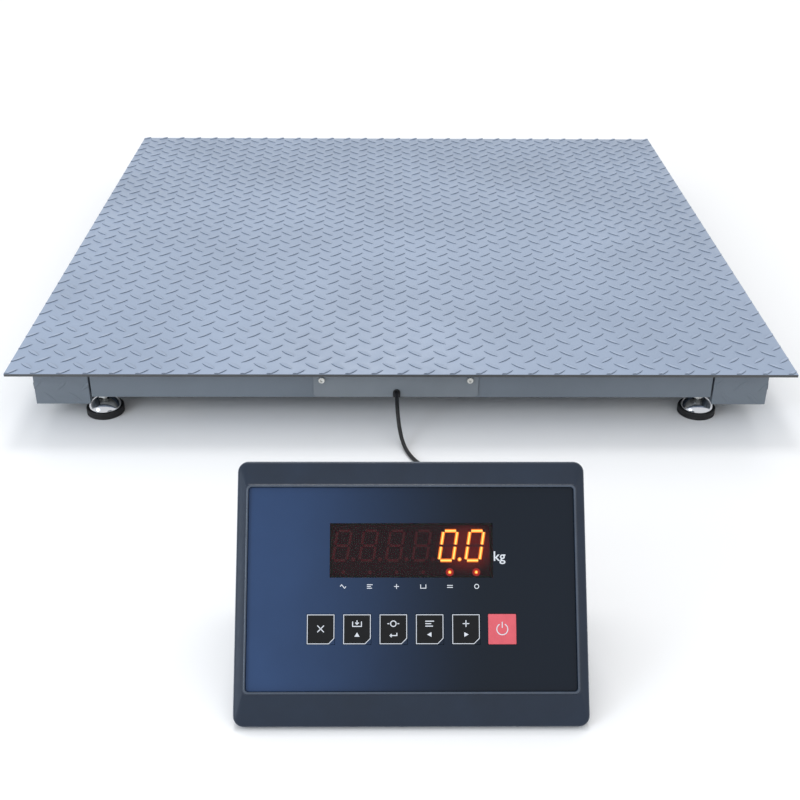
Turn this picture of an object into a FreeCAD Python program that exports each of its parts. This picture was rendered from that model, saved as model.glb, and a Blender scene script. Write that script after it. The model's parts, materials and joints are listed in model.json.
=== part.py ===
# Pallet scale: a tread-plate platform on four levelling feet, joined by a signal cable to a weight indicator.
# FreeCAD 1.1 macro, in millimetres. The origin is the centre of the deck's top face; +X runs along the
# platform's front edge, +Y to its rear and +Z up. The floor is the height of a foot below the load cells,
# and the indicator stands on it in front of the platform. Every driving size is a named cell of "Dims".
import FreeCAD, Part
import math
import os
import Sketcher
from FreeCAD import Placement, Rotation, Vector

doc = FreeCAD.newDocument("PalletScale")
sheet = doc.addObject("Spreadsheet::Sheet", "Dims")

HEXAGON_SIDES = 6
NEARLY_ALONG = 0.9           # how much of an edge's direction lies along an axis that it is said to follow
CUT_START = 1.5              # where a cut through a wall starts, in thicknesses of the wall
TUBE_VOLUME_SLACK = 0.01
ARC_SHARE_OF_RUN = 0.45      # the share of a free cord's shorter run that the arc at its end takes up
S_BEND_RUNS = (1.6, 3.2)     # where a front cell's cable starts and ends its S-bend, in bend radii
SOCKET_PER_RADIUS = 1.6      # a bolt's hexagon socket, across its flats, in shank radii
PARTS = {}


# ---------------------------------------------------------------------------------------------- sizes

class Size:
    """A number together with the sheet expression that gives it."""

    def __init__(self, value, text):
        self.value = float(value)
        self.text = text

    def __add__(self, other):
        other = as_size(other)
        return Size(self.value + other.value, f"({self.text} + {other.text})")

    def __sub__(self, other):
        other = as_size(other)
        return Size(self.value - other.value, f"({self.text} - {other.text})")

    def __mul__(self, other):
        other = as_size(other)
        return Size(self.value * other.value, f"({self.text} * {other.text})")

    def __truediv__(self, other):
        other = as_size(other)
        return Size(self.value / other.value, f"({self.text} / {other.text})")

    def __radd__(self, other):
        return as_size(other) + self

    def __rsub__(self, other):
        return as_size(other) - self

    def __rmul__(self, other):
        return as_size(other) * self

    def __neg__(self):
        return as_size(0) - self


def as_size(x):
    return x if isinstance(x, Size) else Size(x, f"{float(x):.6f}")


def value_of(x):
    return x.value if isinstance(x, Size) else float(x)


def sine(angle):
    return Size(math.sin(math.radians(angle.value)), f"sin({angle.text} * 1 deg)")


def cosine(angle):
    return Size(math.cos(math.radians(angle.value)), f"cos({angle.text} * 1 deg)")


sheet_row = 0


def size(alias, value):
    """One driving size: a cell of the sheet that holds a plain number and is named by its alias."""
    global sheet_row
    sheet_row += 1
    sheet.set(f"A{sheet_row}", alias)
    sheet.set(f"B{sheet_row}", str(value))
    sheet.setAlias(f"B{sheet_row}", alias)
    return Size(value, f"Dims.{alias}")


# Platform
deck_width = size("deck_width", 1000)
deck_depth = size("deck_depth", 1000)
deck_thickness = size("deck_thickness", 4)
frame_inset = size("frame_inset", 27)
channel_height = size("channel_height", 43.5)
channel_wall = size("channel_wall", 4)
channel_flange = size("channel_flange", 50)
corner_box_side = size("corner_box_side", 70)
corner_box_height = size("corner_box_height", 54)
corner_box_wall = size("corner_box_wall", 4)
corner_gap = size("corner_gap", 2.5)
drain_hole_radius = size("drain_hole_radius", 6)
rib_width = size("rib_width", 80)
rib_height = size("rib_height", 40)
rib_wall = size("rib_wall", 3)
rib_pitch = size("rib_pitch", 200)
rib_cable_hole_radius = size("rib_cable_hole_radius", 8)
RIB_COUNT = 4

# Load cells, which lie along the front and rear channels with their fixed ends towards the middle
cell_length = size("cell_length", 130)
cell_width = size("cell_width", 30)
cell_height = size("cell_height", 32)
cell_pad_height = size("cell_pad_height", 4)
cell_pad_length = size("cell_pad_length", 58)
cell_foot_end = size("cell_foot_end", 12)
cell_end_gap = size("cell_end_gap", 1)
cell_side_gap = size("cell_side_gap", 1)
cell_bolt_pitch = size("cell_bolt_pitch", 26)
cell_bolt_end = size("cell_bolt_end", 15)
cell_pocket_radius = size("cell_pocket_radius", 10)
cell_pocket_depth = size("cell_pocket_depth", 8)
cell_outlet_radius = size("cell_outlet_radius", 6)
cell_outlet_length = size("cell_outlet_length", 8)
cell_bay_margin = size("cell_bay_margin", 12)
bolt_radius = size("bolt_radius", 5)
bolt_head_radius = size("bolt_head_radius", 8)
bolt_head_height = size("bolt_head_height", 8)
bolt_clearance = size("bolt_clearance", 0.5)
thread_clearance = size("thread_clearance", 0.05)

# Levelling feet
stud_radius = size("stud_radius", 6)
stud_neck_radius = size("stud_neck_radius", 4.8)
stud_top_gap = size("stud_top_gap", 4)
stud_hex_flats = size("stud_hex_flats", 14)
stud_hex_height = size("stud_hex_height", 4.5)
stud_hex_lift = size("stud_hex_lift", 2.2)
stud_nut_gap = size("stud_nut_gap", 2.3)
nut_flats = size("nut_flats", 19)
nut_height = size("nut_height", 6)
ball_radius = size("ball_radius", 7)
ball_height = size("ball_height", 12.5)
socket_clearance = size("socket_clearance", 0.08)
cup_radius = size("cup_radius", 21.4)
cup_mouth_radius = size("cup_mouth_radius", 6.7)
cup_dome_radius = size("cup_dome_radius", 23)
cup_dome_drop = size("cup_dome_drop", 20.5)
cup_top_height = size("cup_top_height", 21)
cup_seat_height = size("cup_seat_height", 4.5)
cup_floor_radius = size("cup_floor_radius", 4)
pad_radius = size("pad_radius", 24.5)
pad_height = size("pad_height", 9.5)
pad_fit = size("pad_fit", 0.1)

# Junction box behind the access cover
junction_width = size("junction_width", 150)
junction_depth = size("junction_depth", 60)
junction_top_gap = size("junction_top_gap", 3.5)
junction_wall = size("junction_wall", 2.5)
junction_lid_height = size("junction_lid_height", 3)
junction_setback = size("junction_setback", 22)
board_thickness = size("board_thickness", 1.6)
board_standoff = size("board_standoff", 6)
side_gland_radius = size("side_gland_radius", 7)
side_gland_length = size("side_gland_length", 14)
side_gland_pitch = size("side_gland_pitch", 26)
front_gland_radius = size("front_gland_radius", 4)
front_gland_length = size("front_gland_length", 14)
front_gland_lift = size("front_gland_lift", 0.1)

# Access cover, its screws and the grommet
cover_x = size("cover_x", -8)
cover_width = size("cover_width", 212)
cover_drop = size("cover_drop", 0.6)
cover_height = size("cover_height", 41.4)
cover_thickness = size("cover_thickness", 2)
cover_corner_radius = size("cover_corner_radius", 5)
access_width = size("access_width", 176)
access_top = size("access_top", 5)
access_bottom = size("access_bottom", 0.5)
cover_screw_spacing = size("cover_screw_spacing", 190.5)
cover_screw_depth = size("cover_screw_depth", 21)
screw_radius = size("screw_radius", 2.5)
screw_head_radius = size("screw_head_radius", 4)
screw_head_height = size("screw_head_height", 3)
screw_socket_radius = size("screw_socket_radius", 1.8)
screw_socket_depth = size("screw_socket_depth", 1.8)
screw_clearance = size("screw_clearance", 0.2)
grommet_x = size("grommet_x", -7)
grommet_half_width = size("grommet_half_width", 4)
grommet_lip = size("grommet_lip", 0.8)
grommet_lip_thickness = size("grommet_lip_thickness", 1.5)
grommet_tail_radius = size("grommet_tail_radius", 3.4)
grommet_tail_length = size("grommet_tail_length", 4)

# Cables
cable_radius = size("cable_radius", 2.5)
cable_clearance = size("cable_clearance", 0.1)
cell_cable_bend = size("cell_cable_bend", 20)
clip_width = size("clip_width", 12)
clip_length = size("clip_length", 10)
clip_floor = size("clip_floor", 4)
coil_radius = size("coil_radius", 27.5)
coil_thickness = size("coil_thickness", 22.6)
coil_height = size("coil_height", 22.6)

# Indicator: its face is a plane that leans back by face_slope from the horizontal
indicator_x = size("indicator_x", 3)
indicator_y = size("indicator_y", -1034)
indicator_width = size("indicator_width", 322)
face_length = size("face_length", 238)
face_slope = size("face_slope", 52)
lip_height = size("lip_height", 5)
rear_lean = size("rear_lean", 13)
bezel_depth = size("bezel_depth", 18)
bezel_front_thickness = size("bezel_front_thickness", 7)
bezel_wall = size("bezel_wall", 3)
bezel_corner_radius = size("bezel_corner_radius", 10)
shell_wall = size("shell_wall", 2.5)
panel_width = size("panel_width", 299.5)
panel_height = size("panel_height", 184)
panel_bottom = size("panel_bottom", 29.5)
panel_recess = size("panel_recess", 3)
panel_fit = size("panel_fit", 0.2)
panel_ledge = size("panel_ledge", 5)
overlay_thickness = size("overlay_thickness", 2)
window_width = size("window_width", 149.5)
window_height = size("window_height", 49.5)
window_bottom = size("window_bottom", 131)
module_width = size("module_width", 144)
module_height = size("module_height", 46)
module_thickness = size("module_thickness", 8)
module_gap = size("module_gap", 0.6)
main_board_width = size("main_board_width", 270)
main_board_height = size("main_board_height", 186)
board_post_radius = size("board_post_radius", 2.5)
board_post_spacing = size("board_post_spacing", 240)
board_post_inset = size("board_post_inset", 3.2)
battery_width = size("battery_width", 70)
battery_depth = size("battery_depth", 47)
battery_height = size("battery_height", 60)
battery_back = size("battery_back", 45)
indicator_foot_radius = size("indicator_foot_radius", 8)
indicator_foot_height = size("indicator_foot_height", 3)
indicator_foot_inset = size("indicator_foot_inset", 28)
indicator_front_foot_inset = size("indicator_front_foot_inset", 42)
boss_radius = size("boss_radius", 4.5)
boss_spacing = size("boss_spacing", 302)
boss_gap = size("boss_gap", 0.8)
boss_bite = size("boss_bite", 2)
boss_top_drop = size("boss_top_drop", 22)
boss_bottom_back = size("boss_bottom_back", 34)
case_screw_radius = size("case_screw_radius", 1.5)
case_screw_head_radius = size("case_screw_head_radius", 2.8)
case_screw_head_height = size("case_screw_head_height", 1.8)
case_screw_length = size("case_screw_length", 14)
socket_radius = size("socket_radius", 9)
socket_length = size("socket_length", 16)
socket_proud = size("socket_proud", 6)
socket_fit = size("socket_fit", 0.1)
socket_x = size("socket_x", -60)
socket_height = size("socket_height", 30)
inlet_radius = size("inlet_radius", 5)
inlet_x = size("inlet_x", -95)
plug_radius = size("plug_radius", 8)
plug_length = size("plug_length", 26)
plug_boot_radius = size("plug_boot_radius", 4.5)
plug_boot_end_wall = size("plug_boot_end_wall", 0.6)
plug_boot_length = size("plug_boot_length", 14)

# Keys
key_width = size("key_width", 26)
key_height = size("key_height", 27.6)
key_pitch = size("key_pitch", 33)
key_bottom = size("key_bottom", 70.8)
key_thickness = size("key_thickness", 2)
key_proud = size("key_proud", 0.3)
key_fit = size("key_fit", 0.25)
key_stem_side = size("key_stem_side", 6)
key_stem_gap = size("key_stem_gap", 0.7)
KEYS = ("key_clear", "key_tare", "key_zero", "key_function", "key_sum", "key_power")

# Places that several pieces share
frame_x = deck_width / 2 - frame_inset
frame_y = deck_depth / 2 - frame_inset
under_deck = -deck_thickness
under_channel = under_deck - channel_height
cell_top = under_deck - channel_wall
cell_bottom = cell_top - cell_pad_height - cell_height
stud_hex_top = cup_top_height + stud_hex_lift + stud_hex_height
floor_z = cell_bottom - nut_height - stud_nut_gap - stud_hex_top
foot_x = frame_x - corner_box_side - cell_end_gap - cell_foot_end
foot_y = frame_y - channel_wall - cell_side_gap - cell_width / 2
cell_middle_end = foot_x - (cell_length - cell_foot_end)
base_z = floor_z + indicator_foot_height
face_z = base_z + lip_height
slope_sin = sine(face_slope)
slope_cos = cosine(face_slope)
rear_top_y = indicator_y + face_length * slope_cos + bezel_depth * slope_sin
rear_top_z = face_z + face_length * slope_sin - bezel_depth * slope_cos
rear_base_y = rear_top_y + rear_lean
overlay_back = -(panel_recess + overlay_thickness)
main_board_front = overlay_back - module_gap - module_thickness
CORNERS = {
    "front_left": (-1, -1),
    "front_right": (1, -1),
    "rear_left": (-1, 1),
    "rear_right": (1, 1),
}


# ------------------------------------------------------------------------------------------- building

def bind(obj, prop, size_or_number):
    """Set a property, and tie it to the sheet if it is a Size."""
    if isinstance(size_or_number, Size):
        obj.setExpression(prop, size_or_number.text)
    else:
        setattr(obj, prop, size_or_number)


def place(obj, x=0, y=0, z=0, axis=(0, 0, 1), angle=0):
    """Give an object its Placement, tied to the sheet."""
    base = [value_of(c) for c in (x, y, z)]
    obj.Placement = Placement(Vector(*base), Rotation(Vector(*axis), value_of(angle)))
    for name, coordinate in zip("xyz", (x, y, z)):
        if isinstance(coordinate, Size):
            obj.setExpression(f"Placement.Base.{name}", coordinate.text)
    if isinstance(angle, Size):
        obj.setExpression("Placement.Rotation.Angle", f"{angle.text} * 1 deg")
    return obj


def place_on_face(obj, x, up, out):
    """Place an object by the indicator's face: up the slope from its lower edge, and out of its plane."""
    y = indicator_y + up * slope_cos - out * slope_sin
    z = face_z + up * slope_sin + out * slope_cos
    return place(obj, indicator_x + x, y, z, (1, 0, 0), face_slope)


def box(name, length, width, height):
    obj = doc.addObject("Part::Box", name)
    bind(obj, "Length", length)
    bind(obj, "Width", width)
    bind(obj, "Height", height)
    return obj


def cylinder(name, radius, height):
    obj = doc.addObject("Part::Cylinder", name)
    bind(obj, "Radius", radius)
    bind(obj, "Height", height)
    return obj


def sphere(name, radius):
    obj = doc.addObject("Part::Sphere", name)
    bind(obj, "Radius", radius)
    return obj


def hexagon(name, across_flats, height):
    obj = doc.addObject("Part::Prism", name)
    obj.Polygon = HEXAGON_SIDES
    bind(obj, "Circumradius", across_flats / math.sqrt(3))
    bind(obj, "Height", height)
    return obj


def fuse(name, *objs):
    obj = doc.addObject("Part::MultiFuse", name)
    obj.Shapes = list(objs)
    return obj


def cut(name, base, *tools):
    obj = doc.addObject("Part::Cut", name)
    obj.Base = base
    obj.Tool = tools[0] if len(tools) == 1 else group(name + "_tools", *tools)
    return obj


def common(name, first, second):
    obj = doc.addObject("Part::Common", name)
    obj.Base = first
    obj.Tool = second
    return obj


def group(name, *objs):
    obj = doc.addObject("Part::Compound", name)
    obj.Links = list(objs)
    return obj


def plane_of(body, role):
    return next(f for f in body.Origin.OriginFeatures if f.Role == role)


def draw_outline(sketch, corners):
    """Draw a closed outline of straight lines through corners, each held by its two coordinates."""
    points = [Vector(value_of(x), value_of(y), 0) for x, y in corners]
    count = len(points)
    for i in range(count):
        sketch.addGeometry(Part.LineSegment(points[i], points[(i + 1) % count]), False)
    for i in range(count):
        sketch.addConstraint(Sketcher.Constraint("Coincident", i, 2, (i + 1) % count, 1))
    for i, corner in enumerate(corners):
        for kind, coordinate, other_axis in (("DistanceX", corner[0], -2), ("DistanceY", corner[1], -1)):
            if value_of(coordinate) == 0:
                sketch.addConstraint(Sketcher.Constraint("PointOnObject", i, 1, other_axis))
                continue
            row = sketch.addConstraint(Sketcher.Constraint(kind, -1, 1, i, 1, value_of(coordinate)))
            if isinstance(coordinate, Size):
                name = f"{kind}_{i}"
                sketch.renameConstraint(row, name)
                sketch.setExpression(f"Constraints.{name}", coordinate.text)


def sketch_in(body, name, plane, corners):
    sketch = body.newObject("Sketcher::SketchObject", name)
    sketch.AttachmentSupport = (plane_of(body, plane), "")
    sketch.MapMode = "FlatFace"
    draw_outline(sketch, corners)
    return sketch


def prism(name, plane, corners, length):
    """A PartDesign body: an outline on one of its origin planes, padded equally to both sides."""
    body = doc.addObject("PartDesign::Body", name)
    sketch = sketch_in(body, name + "_outline", plane, corners)
    pad = body.newObject("PartDesign::Pad", name + "_pad")
    pad.Profile = sketch
    pad.Midplane = True
    bind(pad, "Length", length)
    body.Tip = pad
    return body


def round_edges(body, radius, wanted):
    """Fillet the edges of a body's last feature that wanted picks by their middle point and direction."""
    doc.recompute()
    feature = body.Tip
    names = []
    for i, edge in enumerate(feature.Shape.Edges, 1):
        if edge.Curve.TypeId != "Part::GeomLine":
            continue
        middle = edge.valueAt((edge.FirstParameter + edge.LastParameter) / 2)
        if wanted(middle, edge.tangentAt(edge.FirstParameter)):
            names.append(f"Edge{i}")
    fillet = body.newObject("PartDesign::Fillet", body.Name + "_fillet")
    fillet.Base = (feature, names)
    bind(fillet, "Radius", radius)
    body.Tip = fillet


def hollow(body, wall, open_face):
    """Shell a body to a wall inside its surface, leaving out the face that open_face picks by its normal."""
    doc.recompute()
    feature = body.Tip
    names = [f"Face{i}" for i, face in enumerate(feature.Shape.Faces, 1) if open_face(face.normalAt(0, 0))]
    shell = body.newObject("PartDesign::Thickness", body.Name + "_shell")
    shell.Base = (feature, names)
    shell.Reversed = True
    shell.Mode = 0
    shell.Join = 1
    bind(shell, "Value", wall)
    body.Tip = shell


def part(label, obj):
    """Register an object as the sub-part called label, which names its file."""
    obj.Label = label
    PARTS[label] = obj
    return obj


# ---------------------------------------------------------------------------------- platform structure

def make_deck():
    deck = box("deck", deck_width, deck_depth, deck_thickness)
    part("deck_plate", place(deck, -deck_width / 2, -deck_depth / 2, under_deck))


def channel_body(name, length):
    """A C-section with its web at y = 0, its flanges towards +Y and its top at z = 0."""
    flange, wall, bottom = channel_flange, channel_wall, -channel_height
    outline = [(0, 0), (flange, 0), (flange, -wall), (wall, -wall), (wall, bottom + wall),
               (flange, bottom + wall), (flange, bottom), (0, bottom)]
    return prism(name, "YZ_Plane", outline, length)


def cell_bay(name, side):
    """The part of the bottom flange left out round a load cell, at one end of a front or rear channel."""
    end = frame_x - corner_box_side
    length = end - cell_middle_end + cell_bay_margin + corner_gap
    bay = box(name, length, channel_flange, channel_wall * 2)
    start = cell_middle_end - cell_bay_margin if side > 0 else -(end + corner_gap)
    return place(bay, start, channel_wall, -channel_height - channel_wall / 2)


def make_channels():
    long_x = (frame_x - corner_box_side - corner_gap) * 2
    long_y = (frame_y - corner_box_side - corner_gap) * 2
    bottom = channel_wall + access_bottom - channel_height
    opening = box("access_opening", access_width, channel_wall * 2, -access_top - bottom)
    place(opening, -access_width / 2, -channel_wall / 2, bottom)
    front = cut("front_section", channel_body("front_profile", long_x),
                cell_bay("front_bay_left", -1), cell_bay("front_bay_right", 1), opening)
    rear = cut("rear_section", channel_body("rear_profile", long_x),
               cell_bay("rear_bay_left", -1), cell_bay("rear_bay_right", 1))
    part("front_channel", place(front, 0, -frame_y, under_deck))
    part("rear_channel", place(rear, 0, frame_y, under_deck, angle=180))
    part("left_channel", place(channel_body("left_profile", long_y), -frame_x, 0, under_deck, angle=270))
    part("right_channel", place(channel_body("right_profile", long_y), frame_x, 0, under_deck, angle=90))


def rib_y(index):
    return rib_pitch * (index - (RIB_COUNT - 1) / 2)


def make_ribs():
    """U-sections with their open side against the deck, holed for the rear cells' cables."""
    half, wall, bottom = rib_width / 2, rib_wall, -rib_height
    outline = [(-half, 0), (-half, bottom), (half, bottom), (half, 0),
               (half - wall, 0), (half - wall, bottom + wall), (wall - half, bottom + wall), (wall - half, 0)]
    length = (frame_x - channel_flange) * 2
    ribs = []
    for i in range(RIB_COUNT):
        holes = []
        for side in (-1, 1):
            hole = cylinder(f"rib_hole_{i}_{side + 1}", rib_cable_hole_radius, rib_width + 2 * rib_wall)
            holes.append(place(hole, side * cell_cable_x, rib_width / 2 + rib_wall,
                               side_gland_z - under_deck, (1, 0, 0), 90))
        rib = cut(f"rib_{i}", prism(f"rib_profile_{i}", "YZ_Plane", outline, length), *holes)
        ribs.append(place(rib, 0, rib_y(i), under_deck))
    part("inner_ribs", group("ribs", *ribs))


def make_corner_boxes():
    side, wall = corner_box_side, corner_box_wall
    for corner, (sx, sy) in CORNERS.items():
        outer = box(f"box_outer_{corner}", side, side, corner_box_height)
        inner = place(box(f"box_inner_{corner}", side - 2 * wall, side - 2 * wall, corner_box_height),
                      wall, wall, wall)
        drain = place(cylinder(f"box_drain_{corner}", drain_hole_radius, 2 * wall),
                      side / 2, side / 2, -wall / 2)
        x = frame_x - side if sx > 0 else -frame_x
        y = frame_y - side if sy > 0 else -frame_y
        made = cut(f"box_{corner}", outer, inner, drain)
        part(f"corner_box_{corner}", place(made, x, y, under_deck - corner_box_height))


# ------------------------------------------------------------------------------------------ load cells

def bolt_offsets():
    """The two bolts' distances from the foot's axis, along the cell."""
    outer = cell_length - cell_foot_end - cell_bolt_end
    return (outer - cell_bolt_pitch, outer)


def make_load_cell(corner, sx, sy):
    """A shear beam with its foot end at the local origin, running towards +X, and its top pad at z = 0."""
    name = f"cell_{corner}"
    beam = place(box(f"{name}_beam", cell_length, cell_width, cell_height),
                 -cell_foot_end, -cell_width / 2, -cell_pad_height - cell_height)
    top = place(box(f"{name}_pad", cell_pad_length, cell_width, cell_pad_height),
                cell_length - cell_foot_end - cell_pad_length, -cell_width / 2, -cell_pad_height)
    outlet = place(cylinder(f"{name}_outlet", cell_outlet_radius, cell_outlet_length),
                   cell_length - cell_foot_end, 0, side_gland_z - cell_top, (0, 1, 0), 90)
    body = fuse(f"{name}_body", beam, top, outlet)
    through = cell_height + cell_pad_height * 2
    thread = place(cylinder(f"{name}_thread", stud_radius + thread_clearance, through),
                   0, 0, -cell_pad_height * CUT_START - cell_height)
    tools = [thread]
    for i, x in enumerate(bolt_offsets()):
        hole = cylinder(f"{name}_bolt_hole_{i}", bolt_radius + bolt_clearance, through)
        tools.append(place(hole, x, 0, -cell_pad_height * CUT_START - cell_height))
    for i, side in enumerate((-1, 1)):
        pocket = cylinder(f"{name}_pocket_{i}", cell_pocket_radius, cell_pocket_depth)
        y = -cell_width / 2 if side < 0 else cell_width / 2 - cell_pocket_depth
        tools.append(place(pocket, cell_length / 2 - cell_foot_end - cell_pocket_radius,
                           y + cell_pocket_depth, -cell_pad_height - cell_height / 2, (1, 0, 0), 90))
    cell = cut(name, body, *tools)
    place(cell, sx * foot_x, sy * foot_y, cell_top, angle=180 if sx > 0 else 0)
    part(f"load_cell_{corner}", cell)


def make_cell_bolts():
    """Socket-head bolts from below, through the cells and into the channels' top flanges."""
    bolts = []
    for corner, (sx, sy) in CORNERS.items():
        for i, offset in enumerate(bolt_offsets()):
            name = f"bolt_{corner}_{i}"
            shank = cylinder(f"{name}_shank", bolt_radius, cell_height + cell_pad_height)
            head = place(cylinder(f"{name}_head", bolt_head_radius, bolt_head_height),
                         0, 0, -bolt_head_height)
            socket = place(hexagon(f"{name}_socket", bolt_radius * SOCKET_PER_RADIUS, bolt_head_height / 2),
                           0, 0, -bolt_head_height)
            bolt = cut(name, fuse(f"{name}_body", shank, head), socket)
            bolts.append(place(bolt, sx * (foot_x - offset), sy * foot_y, cell_bottom))
    part("load_cell_bolts", group("cell_bolts", *bolts))


# ------------------------------------------------------------------------------------- levelling feet

def make_foot(corner, sx, sy):
    """Nut, ball-ended stud, swivel cup and rubber pad, all turned about one upright axis."""
    x, y = sx * foot_x, sy * foot_y
    cell_lift = cell_bottom - floor_z

    nut = cut(f"nut_{corner}", hexagon(f"nut_hex_{corner}", nut_flats, nut_height),
              place(cylinder(f"nut_bore_{corner}", stud_radius + thread_clearance, nut_height * 2),
                    0, 0, -nut_height / 2))
    part(f"foot_nut_{corner}", place(nut, x, y, cell_bottom - nut_height))

    hex_bottom = cup_top_height + stud_hex_lift
    ball = place(sphere(f"ball_{corner}", ball_radius), 0, 0, ball_height)
    neck = place(cylinder(f"neck_{corner}", stud_neck_radius, hex_bottom - ball_height), 0, 0, ball_height)
    wrench = place(hexagon(f"stud_hex_{corner}", stud_hex_flats, stud_hex_height), 0, 0, hex_bottom)
    rod = place(cylinder(f"rod_{corner}", stud_radius, cell_lift + cell_height - stud_top_gap - hex_bottom),
                0, 0, hex_bottom)
    stud = fuse(f"stud_{corner}", ball, neck, wrench, rod)
    part(f"foot_stud_{corner}", place(stud, x, y, floor_z))

    dome = common(f"dome_{corner}",
                  place(cylinder(f"cup_blank_{corner}", cup_radius, cup_top_height - cup_seat_height),
                        0, 0, cup_seat_height),
                  place(sphere(f"cup_dome_{corner}", cup_dome_radius), 0, 0, cup_top_height - cup_dome_drop))
    socket = place(sphere(f"socket_{corner}", ball_radius + socket_clearance), 0, 0, ball_height)
    mouth = place(cylinder(f"mouth_{corner}", cup_mouth_radius, cup_top_height), 0, 0, ball_height)
    under = cylinder(f"cup_under_{corner}", cup_floor_radius, ball_height)
    cup = cut(f"cup_{corner}", dome, socket, mouth, under)
    part(f"foot_cup_{corner}", place(cup, x, y, floor_z))

    recess = place(cylinder(f"pad_recess_{corner}", cup_radius + pad_fit, pad_height), 0, 0, cup_seat_height)
    pad = cut(f"pad_{corner}", cylinder(f"pad_disc_{corner}", pad_radius, pad_height), recess)
    part(f"foot_pad_{corner}", place(pad, x, y, floor_z))


# ------------------------------------------------------- junction box, access cover, screws and grommet

junction_front = -frame_y + channel_wall + junction_setback
junction_z = under_channel + channel_wall
junction_height = channel_height - channel_wall * 2 - junction_lid_height - junction_top_gap
side_gland_z = junction_z + junction_height / 2
signal_z = junction_z + front_gland_radius + front_gland_lift
cell_cable_x = junction_width / 2 + side_gland_length + cell_cable_bend * 2


def gland_y(row):
    return junction_front + junction_depth / 2 + side_gland_pitch * (row - 0.5)


def make_junction_box():
    wall = junction_wall
    outer = box("junction_outer", junction_width, junction_depth, junction_height)
    inner = place(box("junction_inner", junction_width - 2 * wall, junction_depth - 2 * wall,
                      junction_height), wall, wall, wall)
    made = cut("junction", outer, inner)
    part("junction_box", place(made, -junction_width / 2, junction_front, junction_z))
    lid = box("lid", junction_width, junction_depth, junction_lid_height)
    part("junction_lid", place(lid, -junction_width / 2, junction_front, junction_z + junction_height))
    margin = wall * 3
    board = box("summing_board", junction_width - 2 * margin, junction_depth - 2 * margin, board_thickness)
    terminals = place(box("summing_terminals", junction_width - 4 * margin, margin, board_standoff),
                      margin, margin, board_thickness)
    feet = [place(cylinder(f"board_foot_{i}{j}", wall, board_standoff),
                  margin + i * (junction_width - 4 * margin), margin + j * (junction_depth - 4 * margin),
                  -board_standoff) for i in (0, 1) for j in (0, 1)]
    made = fuse("summing", board, terminals, *feet)
    part("junction_board", place(made, margin - junction_width / 2, junction_front + margin,
                                 junction_z + wall + board_standoff))


def make_glands():
    glands = []
    for side in (-1, 1):
        for row in (0, 1):
            gland = cylinder(f"gland_{side + 1}_{row}", side_gland_radius, side_gland_length)
            x = side * (junction_width / 2 + (0 if side > 0 else side_gland_length))
            glands.append(place(gland, x, gland_y(row), side_gland_z, (0, 1, 0), 90))
    front = cylinder("gland_front", front_gland_radius, front_gland_length)
    glands.append(place(front, grommet_x, junction_front, signal_z, (1, 0, 0), 90))
    part("cable_glands", group("glands", *glands))


def cover_notch(name, half_width, bottom, depth):
    """An arch round the signal cable's axis, open downwards, from the cover's front towards the rear."""
    arch = place(cylinder(f"{name}_arch", half_width, depth), 0, depth, 0, (1, 0, 0), 90)
    leg = place(box(f"{name}_leg", half_width * 2, depth, signal_z - bottom),
                -half_width, 0, bottom - signal_z)
    return fuse(name, arch, leg)


def make_cover():
    half = cover_width / 2
    front = -frame_y - cover_thickness
    top = under_deck - cover_drop
    bottom = top - cover_height
    outline = [(-half, -cover_height), (half, -cover_height), (half, 0), (-half, 0)]
    plate = prism("cover_plate", "XZ_Plane", outline, cover_thickness)
    low = -cover_height.value + 1
    round_edges(plate, cover_corner_radius, lambda m, t: abs(t.y) > NEARLY_ALONG and m.z < low)
    place(plate, cover_x, front + cover_thickness / 2, top)
    notch = place(cover_notch("cover_notch", grommet_half_width, bottom - cover_thickness,
                              cover_thickness * 2), grommet_x, front - cover_thickness / 2, signal_z)
    holes = []
    screws = []
    for side in (-1, 1):
        x = cover_x + side * cover_screw_spacing / 2
        hole = cylinder(f"cover_hole_{side + 1}", screw_radius + screw_clearance, cover_thickness * 2)
        holes.append(place(hole, x, front + cover_thickness * CUT_START, -cover_screw_depth, (1, 0, 0), 90))
        screws.append(cover_screw(side, x, front))
    part("access_cover", cut("cover", plate, notch, *holes))
    part("cover_screws", group("screws", *screws))


def cover_screw(side, x, front):
    """A socket-head screw whose end is threaded into the channel's web."""
    name = f"screw_{side + 1}"
    shank = place(cylinder(f"{name}_shank", screw_radius, cover_thickness),
                  0, cover_thickness, 0, (1, 0, 0), 90)
    head = place(cylinder(f"{name}_head", screw_head_radius, screw_head_height), 0, 0, 0, (1, 0, 0), 90)
    socket = place(hexagon(f"{name}_socket", screw_socket_radius * 2, screw_socket_depth),
                   0, screw_socket_depth - screw_head_height, 0, (1, 0, 0), 90)
    screw = cut(name, fuse(f"{name}_body", shank, head), socket)
    return place(screw, x, front, -cover_screw_depth)


def make_grommet():
    """A rubber arch in the cover's notch, with a lip in front and a short tail behind it."""
    front = -frame_y - cover_thickness
    cover_bottom = under_deck - cover_drop - cover_height
    lip_half = grommet_half_width + grommet_lip
    lip = place(cover_notch("grommet_lip", lip_half, cover_bottom, grommet_lip_thickness),
                0, -grommet_lip_thickness, 0)
    neck = cover_notch("grommet_neck", grommet_half_width, cover_bottom, cover_thickness)
    tail = place(cylinder("grommet_tail", grommet_tail_radius, grommet_tail_length),
                 0, cover_thickness + grommet_tail_length, 0, (1, 0, 0), 90)
    bore = place(cylinder("grommet_bore", cable_radius + cable_clearance, 4 * grommet_tail_length),
                 0, 3 * grommet_tail_length, 0, (1, 0, 0), 90)
    made = cut("grommet", fuse("grommet_body", lip, neck, tail), bore)
    part("cable_grommet", place(made, grommet_x, front, signal_z))


# ---------------------------------------------------------------------------------------------- cables

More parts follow.
